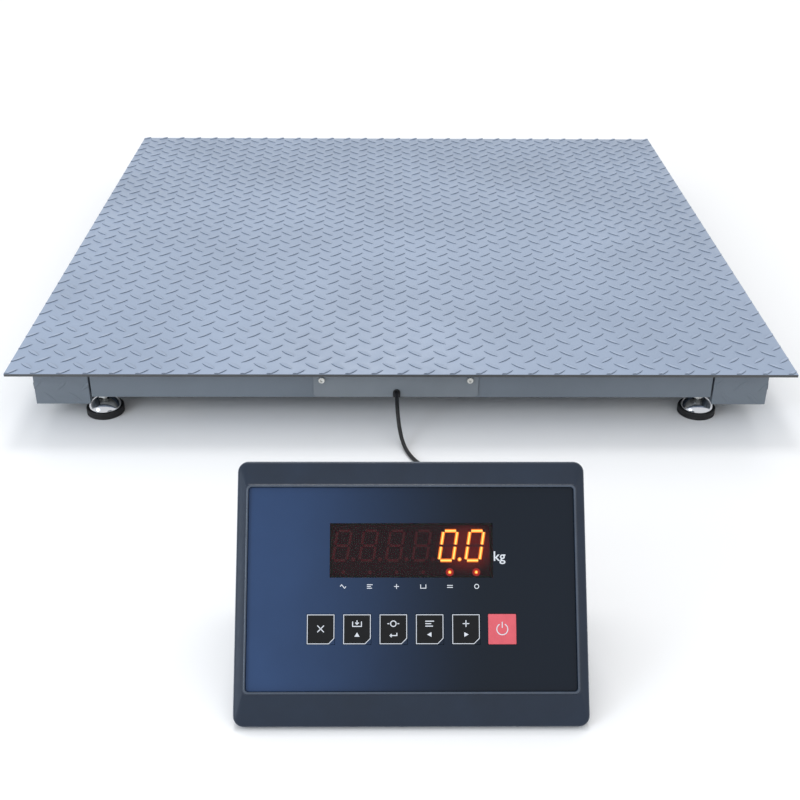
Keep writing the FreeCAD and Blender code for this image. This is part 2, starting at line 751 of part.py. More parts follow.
def sweep_round(points, radii, radius):
    """A round tube along straight runs joined by tangent arcs of the radii given at the inner points."""
    edges = []
    start = points[0]
    for before, corner, after, bend in zip(points, points[1:], points[2:], radii):
        arriving = (corner - before).normalize()
        leaving = (after - corner).normalize()
        turn = arriving.getAngle(leaving)
        reach = bend * math.tan(turn / 2)
        arc_start = corner - arriving * reach
        arc_end = corner + leaving * reach
        bisector = (leaving - arriving).normalize()
        arc_middle = corner + bisector * (bend / math.cos(turn / 2) - bend)
        edges.append(Part.LineSegment(start, arc_start).toShape())
        edges.append(Part.Arc(arc_start, arc_middle, arc_end).toShape())
        start = arc_end
    edges.append(Part.LineSegment(start, points[-1]).toShape())
    path = Part.Wire(edges)
    ring = Part.Wire(Part.Circle(points[0], points[1] - points[0], radius).toShape())
    tube = path.makePipeShell([ring], True, False)
    true_volume = math.pi * radius ** 2 * path.Length
    if abs(tube.Volume / true_volume - 1) > TUBE_VOLUME_SLACK:
        raise RuntimeError("a tube's volume is not its section times its length")
    return tube, path.Length


def free_radii(points):
    """The arcs of a free cord: as large as the two runs at each point allow."""
    radii = []
    for before, corner, after in zip(points, points[1:], points[2:]):
        turn = (corner - before).getAngle(after - corner)
        shorter = min((corner - before).Length, (after - corner).Length)
        radii.append(ARC_SHARE_OF_RUN * shorter / math.tan(turn / 2))
    return radii


def tube_feature(name, tubes):
    obj = doc.addObject("Part::Feature", name)
    obj.Shape = tubes[0] if len(tubes) == 1 else Part.makeCompound(tubes)
    obj.Placement = Placement()
    return obj


def cell_cable_route(sx, sy):
    """The corners of one cell's cable, from the cell's outlet to its gland on the junction box."""
    z = side_gland_z.value
    start_x = cell_middle_end.value - cell_outlet_length.value
    end_x = junction_width.value / 2 + side_gland_length.value
    run_x = cell_cable_x.value
    bend = cell_cable_bend.value
    if sy < 0:
        y = gland_y(0).value
        corners = [(start_x, -foot_y.value), (start_x - S_BEND_RUNS[0] * bend, -foot_y.value),
                   (start_x - S_BEND_RUNS[1] * bend, y), (end_x, y)]
    else:
        y = gland_y(1).value
        corners = [(start_x, foot_y.value), (run_x, foot_y.value), (run_x, y), (end_x, y)]
    return [Vector(sx * x, y, z) for x, y in corners]


def make_cell_cables():
    tubes = []
    clips = []
    for corner, (sx, sy) in CORNERS.items():
        points = cell_cable_route(sx, sy)
        tubes.append(sweep_round(points, [cell_cable_bend.value] * 2, cable_radius.value)[0])
        if sy > 0:
            spots = [(sx * cell_cable_x, rib_pitch * k, under_deck, 0) for k in (-1, 0, 1)]
        else:
            spots = [(sx * cell_cable_x, gland_y(0), cell_top, 90)]
        for i, (x, y, top, angle) in enumerate(spots):
            clips.append(make_clip(f"clip_{corner}_{i}", x, y, top, angle))
    part("load_cell_cables", tube_feature("cell_cables", tubes))
    part("cable_clips", group("clips", *clips))


def make_clip(name, x, y, top, angle):
    """A hanger with its top at a height, and the cable through its eye along the clip's own Y."""
    drop = top - side_gland_z + cable_radius + clip_floor
    block = place(box(f"{name}_block", clip_width, clip_length, drop),
                  -clip_width / 2, -clip_length / 2, -drop)
    eye = place(cylinder(f"{name}_eye", cable_radius + cable_clearance, clip_length * 2),
                0, clip_length, side_gland_z - top, (1, 0, 0), 90)
    return place(cut(name, block, eye), x, y, top, angle=angle)


# The signal cable's route, chosen by hand: out of the grommet, down to the floor, forward in a loose curve and
# into the coil; then out of the coil's top and down again to the connector on the indicator's rear.
LEAD_ROUTE = [
    (-7, -461, -39.4), (-7, -486, -39.4), (-6, -509, -50), (-2.5, -526, -66), (3, -544, -75.5),
    (11, -561.5, -77.5), (21, -577.5, -77.5), (33.5, -591.5, -77.5), (48.5, -603.5, -77.5),
    (65, -614, -77.5), (80, -624, -77.5), (93, -634.5, -77.5), (104.5, -646, -77.5),
    (114.5, -659.5, -77.2), (122.5, -673.5, -76.6),
]
TAIL_ROUTE = [
    (92, -726.3, -61), (76, -726.8, -62.5), (60, -729, -67.5), (44, -733.5, -74), (27, -740.5, -77.4),
    (10, -748, -77.5), (-7, -756, -77.4), (-24, -764, -74.5), (-38, -772.5, -67.5), (-48.5, -782, -58.5),
    (-55, -792.5, -50.5), (-57, -804, -47), (-57, -816.44, -47),
]
COIL_CENTRE = (92, -691)


def make_signal_cable():
    for label, route in (("signal_cable_lead", LEAD_ROUTE), ("signal_cable_tail", TAIL_ROUTE)):
        points = [Vector(*p) for p in route]
        radii = free_radii(points)
        tube, length = sweep_round(points, radii, cable_radius.value)
        print(label, "length", round(length, 1), "radii", [round(r, 1) for r in radii])
        part(label, tube_feature(label + "_tube", [tube]))
    outer = cylinder("coil_outer", coil_radius + coil_thickness / 2, coil_height)
    inner = place(cylinder("coil_inner", coil_radius - coil_thickness / 2, coil_height * 2),
                  0, 0, -coil_height / 2)
    coil = cut("coil", outer, inner)
    part("signal_cable_coil", place(coil, COIL_CENTRE[0], COIL_CENTRE[1], floor_z))


def rear_wall_y(z):
    """Where the indicator's rear wall is at a height."""
    return rear_top_y + rear_lean * (rear_top_z - z) / (rear_top_z - base_z)


def make_plug():
    """The connector in the signal socket, with its boot round the cable's end."""
    shell = place(cylinder("plug_shell", plug_radius, plug_length), 0, plug_length, 0, (1, 0, 0), 90)
    boot = doc.addObject("Part::Cone", "plug_boot")
    bind(boot, "Radius1", cable_radius + plug_boot_end_wall)
    bind(boot, "Radius2", plug_boot_radius)
    bind(boot, "Height", plug_boot_length)
    place(boot, 0, plug_length + plug_boot_length, 0, (1, 0, 0), 90)
    made = fuse("plug", shell, boot)
    z = base_z + socket_height
    part("signal_plug", place(made, indicator_x + socket_x, rear_wall_y(z) + socket_proud, z))


# ------------------------------------------------------------------------------------------- indicator

def make_bezel():
    """The front casing: a raised frame round the recessed panel, open behind, with posts and bosses."""
    back_up = (bezel_depth * slope_cos - lip_height) / slope_sin
    outline = [(0, 0), (face_length, 0), (face_length, -bezel_depth), (back_up, -bezel_depth),
               (-lip_height * slope_sin, -lip_height * slope_cos)]
    blank = prism("bezel_blank", "YZ_Plane", outline, indicator_width)
    high = face_length.value - 1
    round_edges(blank, bezel_corner_radius, lambda m, t: abs(t.z) > NEARLY_ALONG and m.y > high)
    recess = place(box("bezel_recess", panel_width, panel_height, bezel_front_thickness),
                   -panel_width / 2, panel_bottom, overlay_back)
    opening = place(box("bezel_opening", panel_width - 2 * panel_ledge, panel_height - 2 * panel_ledge,
                        bezel_depth * 2),
                    -panel_width / 2 + panel_ledge, panel_bottom + panel_ledge, -bezel_depth * CUT_START)
    low = back_up + bezel_wall * 2
    cavity = place(box("bezel_cavity", indicator_width - 2 * bezel_wall, face_length - bezel_wall - low,
                       bezel_depth),
                   -indicator_width / 2 + bezel_wall, low, -bezel_depth - bezel_front_thickness)
    frame = cut("bezel_frame", blank, recess, opening, cavity)
    posts = []
    post_length = -bezel_front_thickness - main_board_front
    post_ups = (board_up() + board_post_inset, board_up() + main_board_height - board_post_inset)
    for i, x in enumerate((-board_post_spacing / 2, board_post_spacing / 2)):
        for j, up in enumerate(post_ups):
            post = cylinder(f"board_post_{i}{j}", board_post_radius, post_length)
            posts.append(place(post, x, up, main_board_front))
    front = place_on_face(fuse("bezel_front", frame, *posts), 0, 0, 0)
    bosses = [make_boss(i, *spot) for i, spot in enumerate(case_screw_places())]
    part("indicator_bezel", fuse("bezel", front, *bosses))


def make_boss(index, x, y, z, axis, angle):
    """A post that stands off the bezel's front plate, along one case screw, to the shell's wall."""
    inside = shell_wall * 2 + boss_gap
    if angle:
        front_y = indicator_y + (bezel_front_thickness + boss_bite + (z - face_z) * slope_cos) / slope_sin
        length = y - inside - front_y
    else:
        height = ((y - indicator_y) * slope_sin - bezel_front_thickness - boss_bite) / slope_cos
        length = face_z + height - z - inside
    post = place(cylinder(f"boss_post_{index}", boss_radius, length), 0, 0, inside)
    bore = cylinder(f"boss_bore_{index}", case_screw_radius + thread_clearance, inside + case_screw_length)
    return place(cut(f"boss_{index}", post, bore), x, y, z, axis, angle)


def board_up():
    return panel_bottom + (panel_height - main_board_height) / 2


def make_rear_shell():
    """The wedge behind the bezel: base, rear wall and sides, open towards the bezel."""
    front_y = indicator_y + (bezel_depth - lip_height * slope_cos) / slope_sin
    outline = [(front_y, base_z), (rear_base_y, base_z), (rear_top_y, rear_top_z)]
    shell = prism("shell_blank", "YZ_Plane", outline, indicator_width)
    hollow(shell, shell_wall, lambda n: n.y < -0.1 and n.z > 0.1)
    place(shell, indicator_x, 0, 0)
    z = base_z + socket_height
    holes = []
    for name, x, radius in (("socket_hole", socket_x, socket_radius), ("inlet_hole", inlet_x, inlet_radius)):
        hole = cylinder(name, radius + socket_fit, shell_wall * 6)
        holes.append(place(hole, indicator_x + x, rear_wall_y(z) + shell_wall * 3, z, (1, 0, 0), 90))
    for i, (x, y, z, axis, angle) in enumerate(case_screw_places()):
        hole = cylinder(f"case_hole_{i}", case_screw_radius + screw_clearance, shell_wall * 8)
        holes.append(place(hole, x, y, z, axis, angle))
    part("indicator_rear_shell", cut("rear_shell", shell, *holes))


def case_screw_places():
    """Where the case screws' heads sit: two in the rear wall near its top, two in the base near the front."""
    top_z = rear_top_z - boss_top_drop
    bottom_y = indicator_y + boss_bottom_back
    lean = case_screw_head_radius * rear_lean / (rear_top_z - base_z)
    places = []
    for side in (-1, 1):
        x = indicator_x + side * boss_spacing / 2
        places.append((x, rear_wall_y(top_z) + shell_wall + lean, top_z, (1, 0, 0), 90))
        places.append((x, bottom_y, base_z - shell_wall, (0, 0, 1), 0))
    return places


def make_case_screws():
    screws = []
    for i, (x, y, z, axis, angle) in enumerate(case_screw_places()):
        head = place(cylinder(f"case_head_{i}", case_screw_head_radius, case_screw_head_height),
                     0, 0, shell_wall - case_screw_head_height)
        shank = place(cylinder(f"case_shank_{i}", case_screw_radius, case_screw_length), 0, 0, shell_wall)
        screws.append(place(fuse(f"case_screw_{i}", head, shank), x, y, z, axis, angle))
    part("indicator_screws", group("case_screws", *screws))


def make_front_overlay():
    fit = panel_fit
    plate = place(box("overlay_plate", panel_width - 2 * fit, panel_height - 2 * fit, overlay_thickness),
                  -panel_width / 2 + fit, panel_bottom + fit, overlay_back)
    openings = [place(box("window_opening", window_width, window_height, overlay_thickness * 3),
                      -window_width / 2, window_bottom, overlay_back - overlay_thickness)]
    for i, x in enumerate(key_places()):
        opening = box(f"key_opening_{i}", key_width, key_height, overlay_thickness * 3)
        openings.append(place(opening, x - key_width / 2, key_bottom, overlay_back - overlay_thickness))
    part("front_overlay", place_on_face(cut("overlay", plate, *openings), 0, 0, 0))


def key_places():
    return [key_pitch * (i - (len(KEYS) - 1) / 2) for i in range(len(KEYS))]


def make_display():
    window = box("window", window_width, window_height, overlay_thickness)
    part("display_window", place_on_face(window, -window_width / 2, window_bottom, overlay_back))
    module = box("module", module_width, module_height, module_thickness)
    up = window_bottom + (window_height - module_height) / 2
    part("display_module", place_on_face(module, -module_width / 2, up, main_board_front))
    board = box("main_board_plate", main_board_width, main_board_height, board_thickness)
    part("main_board", place_on_face(board, -main_board_width / 2, board_up(),
                                     main_board_front - board_thickness))


def make_keys():
    """Key caps that slide into the overlay, each with a stem that works a switch on the board."""
    for label, x in zip(KEYS, key_places()):
        fit = key_fit
        cap = place(box(label + "_cap", key_width - 2 * fit, key_height - 2 * fit, key_thickness),
                    -key_width / 2 + fit, fit, -key_thickness)
        stem_length = -panel_recess + key_proud - key_thickness - main_board_front - key_stem_gap
        stem = place(box(label + "_stem", key_stem_side, key_stem_side, stem_length),
                     -key_stem_side / 2, (key_height - key_stem_side) / 2, -key_thickness - stem_length)
        key = fuse(label + "_body", cap, stem)
        part(label, place_on_face(key, x, key_bottom, key_proud - panel_recess))


def make_indicator_rest():
    """Battery, rear sockets and the feet that the indicator stands on."""
    cell = box("battery_case", battery_width, battery_depth, battery_height)
    terminal_gap = battery_width / 3
    terminals = [place(cylinder(f"battery_terminal_{i}", shell_wall, shell_wall),
                       terminal_gap * (i + 1), battery_depth / 2, battery_height) for i in (0, 1)]
    battery = fuse("battery_body", cell, *terminals)
    part("battery", place(battery, indicator_x - battery_width / 2,
                          rear_base_y - battery_back - battery_depth, base_z + shell_wall))
    z = base_z + socket_height
    sockets = []
    places = (("signal_socket", socket_x, socket_radius), ("power_inlet", inlet_x, inlet_radius))
    for name, x, radius in places:
        barrel = cylinder(name, radius, socket_length)
        if name == "power_inlet":
            pin = place(cylinder("inlet_bore", radius / 2, socket_proud * 2), 0, 0, -socket_proud)
            barrel = cut("power_inlet_barrel", barrel, pin)
        sockets.append(place(barrel, indicator_x + x, rear_wall_y(z) + socket_proud, z, (1, 0, 0), 90))
    part("rear_sockets", group("sockets", *sockets))
    feet = []
    inset = indicator_foot_inset
    for i, x in enumerate((inset - indicator_width / 2, indicator_width / 2 - inset)):
        for j, y in enumerate((indicator_y + indicator_front_foot_inset, rear_base_y - inset)):
            foot = cylinder(f"rubber_foot_{i}{j}", indicator_foot_radius, indicator_foot_height)
            feet.append(place(foot, indicator_x + x, y, floor_z))
    part("indicator_feet", group("rubber_feet", *feet))


# ---------------------------------------------------------------------------------------------- output

def check_and_export():
    doc.recompute()
    for obj in doc.Objects:
        if {"Invalid", "Error"} & set(obj.State):
            raise RuntimeError(f"{obj.Label}: {obj.State}")
    for label, obj in PARTS.items():
        if obj.Shape.isNull() or not obj.Shape.isValid() or not obj.Shape.Solids:
            raise RuntimeError(f"{label} has no valid solid")
    os.makedirs("parts", exist_ok=True)
    for label, obj in PARTS.items():
        obj.Shape.exportStep(f"parts/{label}.step")
    print(len(PARTS), "sub-parts")


make_deck()
make_channels()
make_ribs()
make_corner_boxes()
for corner, (sx, sy) in CORNERS.items():
    make_load_cell(corner, sx, sy)
    make_foot(corner, sx, sy)
make_cell_bolts()
make_junction_box()
make_glands()
make_cover()
make_grommet()
make_cell_cables()
make_signal_cable()
make_plug()
make_bezel()
make_rear_shell()
make_case_screws()
make_front_overlay()
make_display()
make_keys()
make_indicator_rest()
check_and_export()
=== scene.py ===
"""Pallet scale: the visible shapes and materials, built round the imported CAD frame, in metres."""
import json
import math

import bmesh
import bpy
from mathutils import Matrix, Vector


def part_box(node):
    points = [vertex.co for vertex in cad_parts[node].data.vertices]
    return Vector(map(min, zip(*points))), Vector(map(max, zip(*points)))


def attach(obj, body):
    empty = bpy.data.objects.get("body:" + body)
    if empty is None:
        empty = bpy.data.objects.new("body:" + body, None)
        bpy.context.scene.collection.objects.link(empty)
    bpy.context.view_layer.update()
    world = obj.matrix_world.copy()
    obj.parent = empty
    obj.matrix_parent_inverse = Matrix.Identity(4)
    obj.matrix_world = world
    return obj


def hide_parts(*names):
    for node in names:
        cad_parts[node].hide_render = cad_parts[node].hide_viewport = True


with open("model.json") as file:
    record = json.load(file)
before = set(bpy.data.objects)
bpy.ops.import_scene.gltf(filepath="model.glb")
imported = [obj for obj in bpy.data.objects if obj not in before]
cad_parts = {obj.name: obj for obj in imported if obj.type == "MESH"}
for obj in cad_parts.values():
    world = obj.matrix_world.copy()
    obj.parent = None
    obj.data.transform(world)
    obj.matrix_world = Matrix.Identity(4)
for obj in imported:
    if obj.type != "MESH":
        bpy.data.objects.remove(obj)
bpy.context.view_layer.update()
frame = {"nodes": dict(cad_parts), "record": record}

MM = 0.001
CORNERS = ("front_left", "front_right", "rear_left", "rear_right")

# The indicator's face, worked out from its casing's box: a plane that leans back from its lower front edge
FACE_SLOPE = math.radians(52)
LIP_HEIGHT = 5 * MM
FACE_LENGTH = 238 * MM
CASE_LOW, CASE_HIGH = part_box("indicator_bezel")
CASE_HALF_WIDTH = (CASE_HIGH.x - CASE_LOW.x) / 2
FACE_ORIGIN = Vector(((CASE_LOW.x + CASE_HIGH.x) / 2, CASE_LOW.y, CASE_LOW.z + LIP_HEIGHT))
FACE_UP = Vector((0, math.cos(FACE_SLOPE), math.sin(FACE_SLOPE)))
FACE_OUT = Vector((0, -math.sin(FACE_SLOPE), math.cos(FACE_SLOPE)))

# The panel and what is set in it: distances across, up the face and out of it
PANEL_HALF_WIDTH = 149.75 * MM
PANEL_BOTTOM = 29.5 * MM
PANEL_TOP = 213.5 * MM
PANEL_OUT = -3 * MM
WINDOW_BOTTOM = 131 * MM
MODULE_OUT = -5.6 * MM
KEY_BOTTOM = 70.8 * MM
KEY_PITCH = 33 * MM
KEY_SIZE = (25.5 * MM, 27.1 * MM)
KEY_FIT = 0.25 * MM
KEY_OUT = -2.7 * MM
PRINT_THICKNESS = 0.08 * MM

FLOOR_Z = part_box("foot_pad_front_left")[0].z
DECK_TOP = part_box("deck_plate")[1].z


def on_face(x, up, out):
    """The point that far across, up and out of the indicator's face."""
    return FACE_ORIGIN + Vector((x, 0, 0)) + FACE_UP * up + FACE_OUT * out


# -------------------- materials

# The range that Blender's noise mostly keeps to, and how much finer the gloss varies than the tone
NOISE_RANGE = (0.3, 0.7)
GLOSS_FINER = 9

# What finishes of one kind share: grain is per metre and grain_depth in metres
ENAMEL = {"roughness": 0.42, "grain": 420, "grain_depth": 6e-5}
PLATED = {"metallic": 1.0, "grain_depth": 2e-5}
BRUSHED = {**PLATED, "stretch": (1, 0.06, 1)}
PRINTED = {"grain": 2600, "grain_depth": 3e-5, "Specular_IOR_Level": 0.25}

# Where the panel's film turns from lighter blue to near black, a painted sheen, in half widths of the panel
# from its middle
SHEEN_FADE_SPAN = (-1.1, 0.5)

# The red bloom round the lit digits: its middle on the face, the distances between which it fades out, how it
# is squeezed across, and its strength
BLOOM_MIDDLE = (51 * MM, WINDOW_BOTTOM + 27 * MM)
BLOOM_FADE = (10 * MM, 27 * MM)
BLOOM_SQUEEZE = (0.8, 1, 1)
BLOOM_STRENGTH = 0.22

# A tread's side gets painted shade where its normal's height falls through this range, from this far above
# the deck, and its colour is multiplied by this share
SHADE_NORMAL = (0.93, 0.6)
SHADE_HEIGHT = 0.15 * MM
TREAD_SIDE_SHADE = 0.5


def add_node(tree, kind, inputs, **settings):
    """A shader node with its settings made, whose inputs are each a value or another node's output."""
    node = tree.nodes.new("ShaderNode" + kind)
    for name, value in settings.items():
        setattr(node, name, value)
    for socket, value in inputs.items():
        if isinstance(value, bpy.types.NodeSocket):
            tree.links.new(value, node.inputs[socket])
        else:
            node.inputs[socket].default_value = value
    return node


def place_of(tree):
    """A point's place in its object's own space, which at rest is the frame's."""
    return add_node(tree, "TexCoord", {}).outputs["Object"]


def component(tree, vector, axis):
    return add_node(tree, "SeparateXYZ", {"Vector": vector}).outputs[axis]


def remap(tree, value, before, after=(0, 1), kind="LINEAR"):
    """A value stretched from one range to another, and held at the ends."""
    ranges = {"From Min": before[0], "From Max": before[1], "To Min": after[0], "To Max": after[1]}
    return add_node(tree, "MapRange", {"Value": value, **ranges}, interpolation_type=kind).outputs["Result"]


def mixed(tree, factor, first, second):
    """A colour between two others."""
    inputs = {"Factor": factor, "A": first, "B": second}
    return add_node(tree, "Mix", inputs, data_type="RGBA").outputs["Result"]


def noise(tree, place, scale, detail, after=(0, 1)):
    """A noise texture at a scale per metre, stretched to run between two greys."""
    texture = add_node(tree, "TexNoise", {"Vector": place, "Scale": scale, "Detail": detail})
    return remap(tree, texture.outputs["Fac"], NOISE_RANGE, after)


def shader_of(material):
    return material.node_tree.nodes["Principled BSDF"]


def surface(name, colour, roughness, tone=0.06, tone_scale=14, grain=900, grain_depth=0.0,
            rough_spread=0.06, metallic=0.0, stretch=(1, 1, 1), second=None, **sockets):
    """A material with cloudy tone, uneven gloss and a fine grain. Scales are per metre and grain_depth is in
    metres. stretch draws the pattern out, as brushing does, and second is a colour for the cloud's dark
    places. Further names are the shader's own sockets."""
    material = bpy.data.materials.new(name)
    material.use_nodes = True
    tree, shader = material.node_tree, shader_of(material)
    shader.inputs["Metallic"].default_value = metallic
    for socket, value in sockets.items():
        shader.inputs[socket.replace("_", " ")].default_value = value

    place = add_node(tree, "Mapping", {"Vector": place_of(tree), "Scale": stretch}).outputs["Vector"]
    cloud = noise(tree, place, tone_scale, 6)
    dark = second or [c * (1 - tone) for c in colour]
    bright = [min(1, c * (1 + tone)) for c in colour]
    tree.links.new(mixed(tree, cloud, (*dark, 1), (*bright, 1)), shader.inputs["Base Color"])
    spread = (roughness - rough_spread, roughness + rough_spread)
    gloss = noise(tree, place, tone_scale * GLOSS_FINER, 4, spread)
    tree.links.new(gloss, shader.inputs["Roughness"])
    if grain_depth:
        fine = noise(tree, place, grain, 3)
        bump = add_node(tree, "Bump", {"Height": fine, "Strength": 1, "Distance": grain_depth})
        tree.links.new(bump.outputs["Normal"], shader.inputs["Normal"])
    return material


def glowing(name, colour, glow, strength):
    """A lit surface, a little uneven, with a colour of its own under the light."""
    material = surface(name, colour, 0.5, tone=0.1, tone_scale=300)
    shader = shader_of(material)
    shader.inputs["Emission Color"].default_value = (*glow, 1)
    shader.inputs["Emission Strength"].default_value = strength
    return material


def mix_over(material, factor, colour):
    """Mix another colour over a material's own, by a factor."""
    tree, base = material.node_tree, shader_of(material).inputs["Base Color"]
    tree.links.new(mixed(tree, factor, base.links[0].from_socket, (*colour, 1)), base)
    return material


def film_with_painted_sheen(name, bright, dark):
    """The panel's printed film, with a painted sheen: its colour runs from lighter blue at one side to near
    black at the other.
    """
    material = surface(name, bright, 0.34, tone=0.05, tone_scale=25, **PRINTED)
    tree = material.node_tree
    span = [FACE_ORIGIN.x + PANEL_HALF_WIDTH * part for part in SHEEN_FADE_SPAN]
    # Painted sheen: the film is lighter towards its left side
    fade = remap(tree, component(tree, place_of(tree), "X"), span, kind="SMOOTHSTEP")
    return mix_over(material, fade, dark)


def glow_round_digits():
    """The display's dark face, with a red bloom that fades out round the two lit digits."""
    material = surface("display_face", (0.012, 0.0015, 0.003), 0.6, tone=0.1, tone_scale=150)
    tree, shader = material.node_tree, shader_of(material)
    shader.inputs["Emission Color"].default_value = (1.0, 0.04, 0.02, 1)
    away = place_of(tree)
    for operation, other in (("SUBTRACT", on_face(*BLOOM_MIDDLE, MODULE_OUT)), ("MULTIPLY", BLOOM_SQUEEZE)):
        away = add_node(tree, "VectorMath", {0: away, 1: other}, operation=operation).outputs["Vector"]
    distance = add_node(tree, "VectorMath", {0: away}, operation="LENGTH").outputs["Value"]
    fade = remap(tree, distance, BLOOM_FADE, (BLOOM_STRENGTH, 0), "SMOOTHERSTEP")
    tree.links.new(fade, shader.inputs["Emission Strength"])
    return material


def treads_with_painted_shade(name, colour, **settings):
    """The deck's enamel, with painted shade darkening the steep sides of its treads."""
    material = surface(name, colour, **settings)
    tree = material.node_tree
    normal = add_node(tree, "NewGeometry", {}).outputs["Normal"]
    steep = remap(tree, component(tree, normal, "Z"), SHADE_NORMAL)
    raised = remap(tree, component(tree, place_of(tree), "Z"), (DECK_TOP, DECK_TOP + SHADE_HEIGHT))
    # Painted shade: the treads' steep sides are darkened
    side_shade = add_node(tree, "Math", {0: steep, 1: raised}, operation="MULTIPLY").outputs["Value"]
    return mix_over(material, side_shade, [c * TREAD_SIDE_SHADE for c in colour])


def make_materials():
    """One material for each of the record's slots, and a few for prints, painted shade and a painted
    highlight on edges, and lights.
    """
    return {
        # The deck's enamel, with painted shade on its treads' steep sides
        "tread_plate": treads_with_painted_shade("enamel_blue_grey", (0.29, 0.355, 0.47), tone=0.07, tone_scale=5,
                                   **ENAMEL),
        # The frame and corner boxes: the deck's blue-grey enamel, slightly greyer, and darkened to its look
        # in shade as painted shade
        "frame_paint": surface("enamel_painted_shade", (0.158, 0.186, 0.218), tone_scale=10, **ENAMEL),
        "cover_paint": surface("enamel_cover", (0.2, 0.225, 0.25), **ENAMEL),
        # The deck plate's sides, darker as painted shade
        "plate_side_shade": surface("enamel_side_shade", (0.062, 0.064, 0.066), 0.45, tone=0.15, tone_scale=40,
                              grain=500, grain_depth=8e-5),
        "cell_steel": surface("plated_steel", (0.6, 0.6, 0.57), 0.32, tone_scale=60, grain=1800, **BRUSHED),
        "zinc_steel": surface("zinc_plate", (0.66, 0.66, 0.63), 0.28, tone=0.12, tone_scale=160, grain=2200,
                              **PLATED),
        "foot_chrome": surface("bright_chrome", (0.62, 0.63, 0.66), 0.13, tone=0.03, tone_scale=90, grain=600,
                               grain_depth=1e-5, rough_spread=0.04, metallic=1.0),
        "foot_rubber": surface("black_rubber", (0.014, 0.014, 0.015), 0.62, tone=0.2, tone_scale=120,
                               grain=1500, grain_depth=5e-5, Specular_IOR_Level=0.35),
        "junction_steel": surface("stainless", (0.5, 0.5, 0.49), 0.3, tone_scale=50, grain=1500, **BRUSHED),
        "gland_nylon": surface("black_nylon", (0.02, 0.02, 0.022), 0.5, tone=0.1, tone_scale=80, grain=1800,
                               grain_depth=3e-5),
        "circuit_board": surface("solder_mask", (0.012, 0.14, 0.045), 0.3, tone=0.2, tone_scale=220,
                                 grain=700, grain_depth=4e-5, second=(0.008, 0.075, 0.025)),
        "cable_jacket": surface("cable_jacket", (0.012, 0.012, 0.013), 0.42, tone=0.15, tone_scale=60,
                                grain=1400, grain_depth=3e-5, Specular_IOR_Level=0.4),
        "tie_fabric": surface("tie_fabric", (0.02, 0.02, 0.022), 0.85, tone=0.3, tone_scale=900, grain=3000,
                              grain_depth=2e-4, Sheen_Weight=0.3),
        "connector_metal": surface("nickel_plate", (0.62, 0.61, 0.58), 0.24, tone=0.08, tone_scale=120,
                                   grain=1600, **PLATED),
        "case_plastic": surface("casing_plastic", (0.008, 0.018, 0.038), 0.34, tone=0.12, tone_scale=30,
                                grain=2400, grain_depth=4e-5, Specular_IOR_Level=0.38),
        # A lighter plastic for the bezel's bead and outer edge: a painted highlight
        "case_painted_highlight": surface("casing_painted_highlight", (0.05, 0.068, 0.1), 0.24, tone=0.12, tone_scale=60,
                             Specular_IOR_Level=0.6),
        # The panel's film, with a painted sheen from left to right
        "overlay_film": film_with_painted_sheen("overlay_film", (0.026, 0.06, 0.15), (0.0025, 0.0075, 0.0165)),
        "window_red": surface("red_filter", (0.014, 0.0015, 0.004), 0.07, tone=0.08, tone_scale=40,
                              rough_spread=0.02, Alpha=0.38, Specular_IOR_Level=0.3),
        "key_black": surface("key_ink", (0.004, 0.0045, 0.006), 0.36, tone=0.2, tone_scale=150, **PRINTED),
        "key_red": surface("red_ink", (0.74, 0.125, 0.155), 0.4, tone=0.05, tone_scale=150, **PRINTED),
        "white_ink": surface("white_ink", (0.72, 0.75, 0.8), 0.45, tone=0.05, tone_scale=200),
        "battery_case": surface("battery_case", (0.03, 0.03, 0.035), 0.5, tone=0.1, tone_scale=60,
                                grain=1500, grain_depth=4e-5),
        "display_black": glow_round_digits(),
        "segment_lit": glowing("segment_lit", (0.3, 0.05, 0.01), (1.0, 0.2, 0.014), 3.2),
        "segment_core": glowing("segment_core", (0.3, 0.15, 0.03), (1.0, 0.56, 0.13), 4.2),
        "segment_halo": glowing("segment_halo", (0.4, 0.02, 0.02), (1.0, 0.04, 0.03), 0.7),
        # The dark segments glow faintly: painted light, in place of the light that reaches them through the
        # window
        "segment_unlit": glowing("segment_unlit", (0.04, 0.006, 0.009), (1.0, 0.1, 0.12), 0.07),
        "floor": surface("floor", (0.93, 0.93, 0.935), 0.3, tone=0.004, tone_scale=1.5, rough_spread=0.02),
    }


MATERIALS = make_materials()
SLOT_OF_NODE = {row["node"]: row["material_slot"] for row in frame["record"]["subparts"]}


# -------------------- mesh making

# How far a corner's mitre may run out, as the least cosine that it is divided by
MITRE_LIMIT = 0.5


def mark_sharp(bm, angle):
    """Shade smooth, apart from the edges whose faces meet at more than an angle in degrees."""
    for face in bm.faces:
        face.smooth = True
    for edge in bm.edges:
        if len(edge.link_faces) == 2 and edge.calc_face_angle(0) > math.radians(angle):
            edge.smooth = False


def new_mesh(name, bm):
    """Turn a bmesh into a mesh, and free it."""
    mesh = bpy.data.meshes.new(name)
    bm.to_mesh(mesh)
    bm.free()
    return mesh


def new_object(name, data):
    """A new object in the scene."""
    made = bpy.data.objects.new(name, data)
    bpy.context.collection.objects.link(made)
    return made


def new_piece(name, bm, slot, body="scale", replaces=(), sharp=35, material=None):
    """Turn a bmesh into a piece that rides on a body, with the material of one of the record's slots."""
    bmesh.ops.recalc_face_normals(bm, faces=bm.faces)
    mark_sharp(bm, sharp)
    piece = new_object(name, new_mesh(name, bm))
    piece.data.materials.append(MATERIALS[material or slot])
    return adopt(piece, body, replaces)


def adopt(piece, body="scale", replaces=()):
    """Hide the parts that a piece replaces, and put it on the body that it rides on."""
    if replaces:
        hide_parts(*replaces)
    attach(piece, body)
    return piece


def bridge(bm, loops, closed=False):
    """Faces between loops of vertices in step; closed joins the last loop to the first."""
    pairs = list(zip(loops, loops[1:])) + ([(loops[-1], loops[0])] if closed else [])
    for one, two in pairs:
        count = len(one)
        for i in range(count):
            bm.faces.new((one[i], one[(i + 1) % count], two[(i + 1) % count], two[i]))


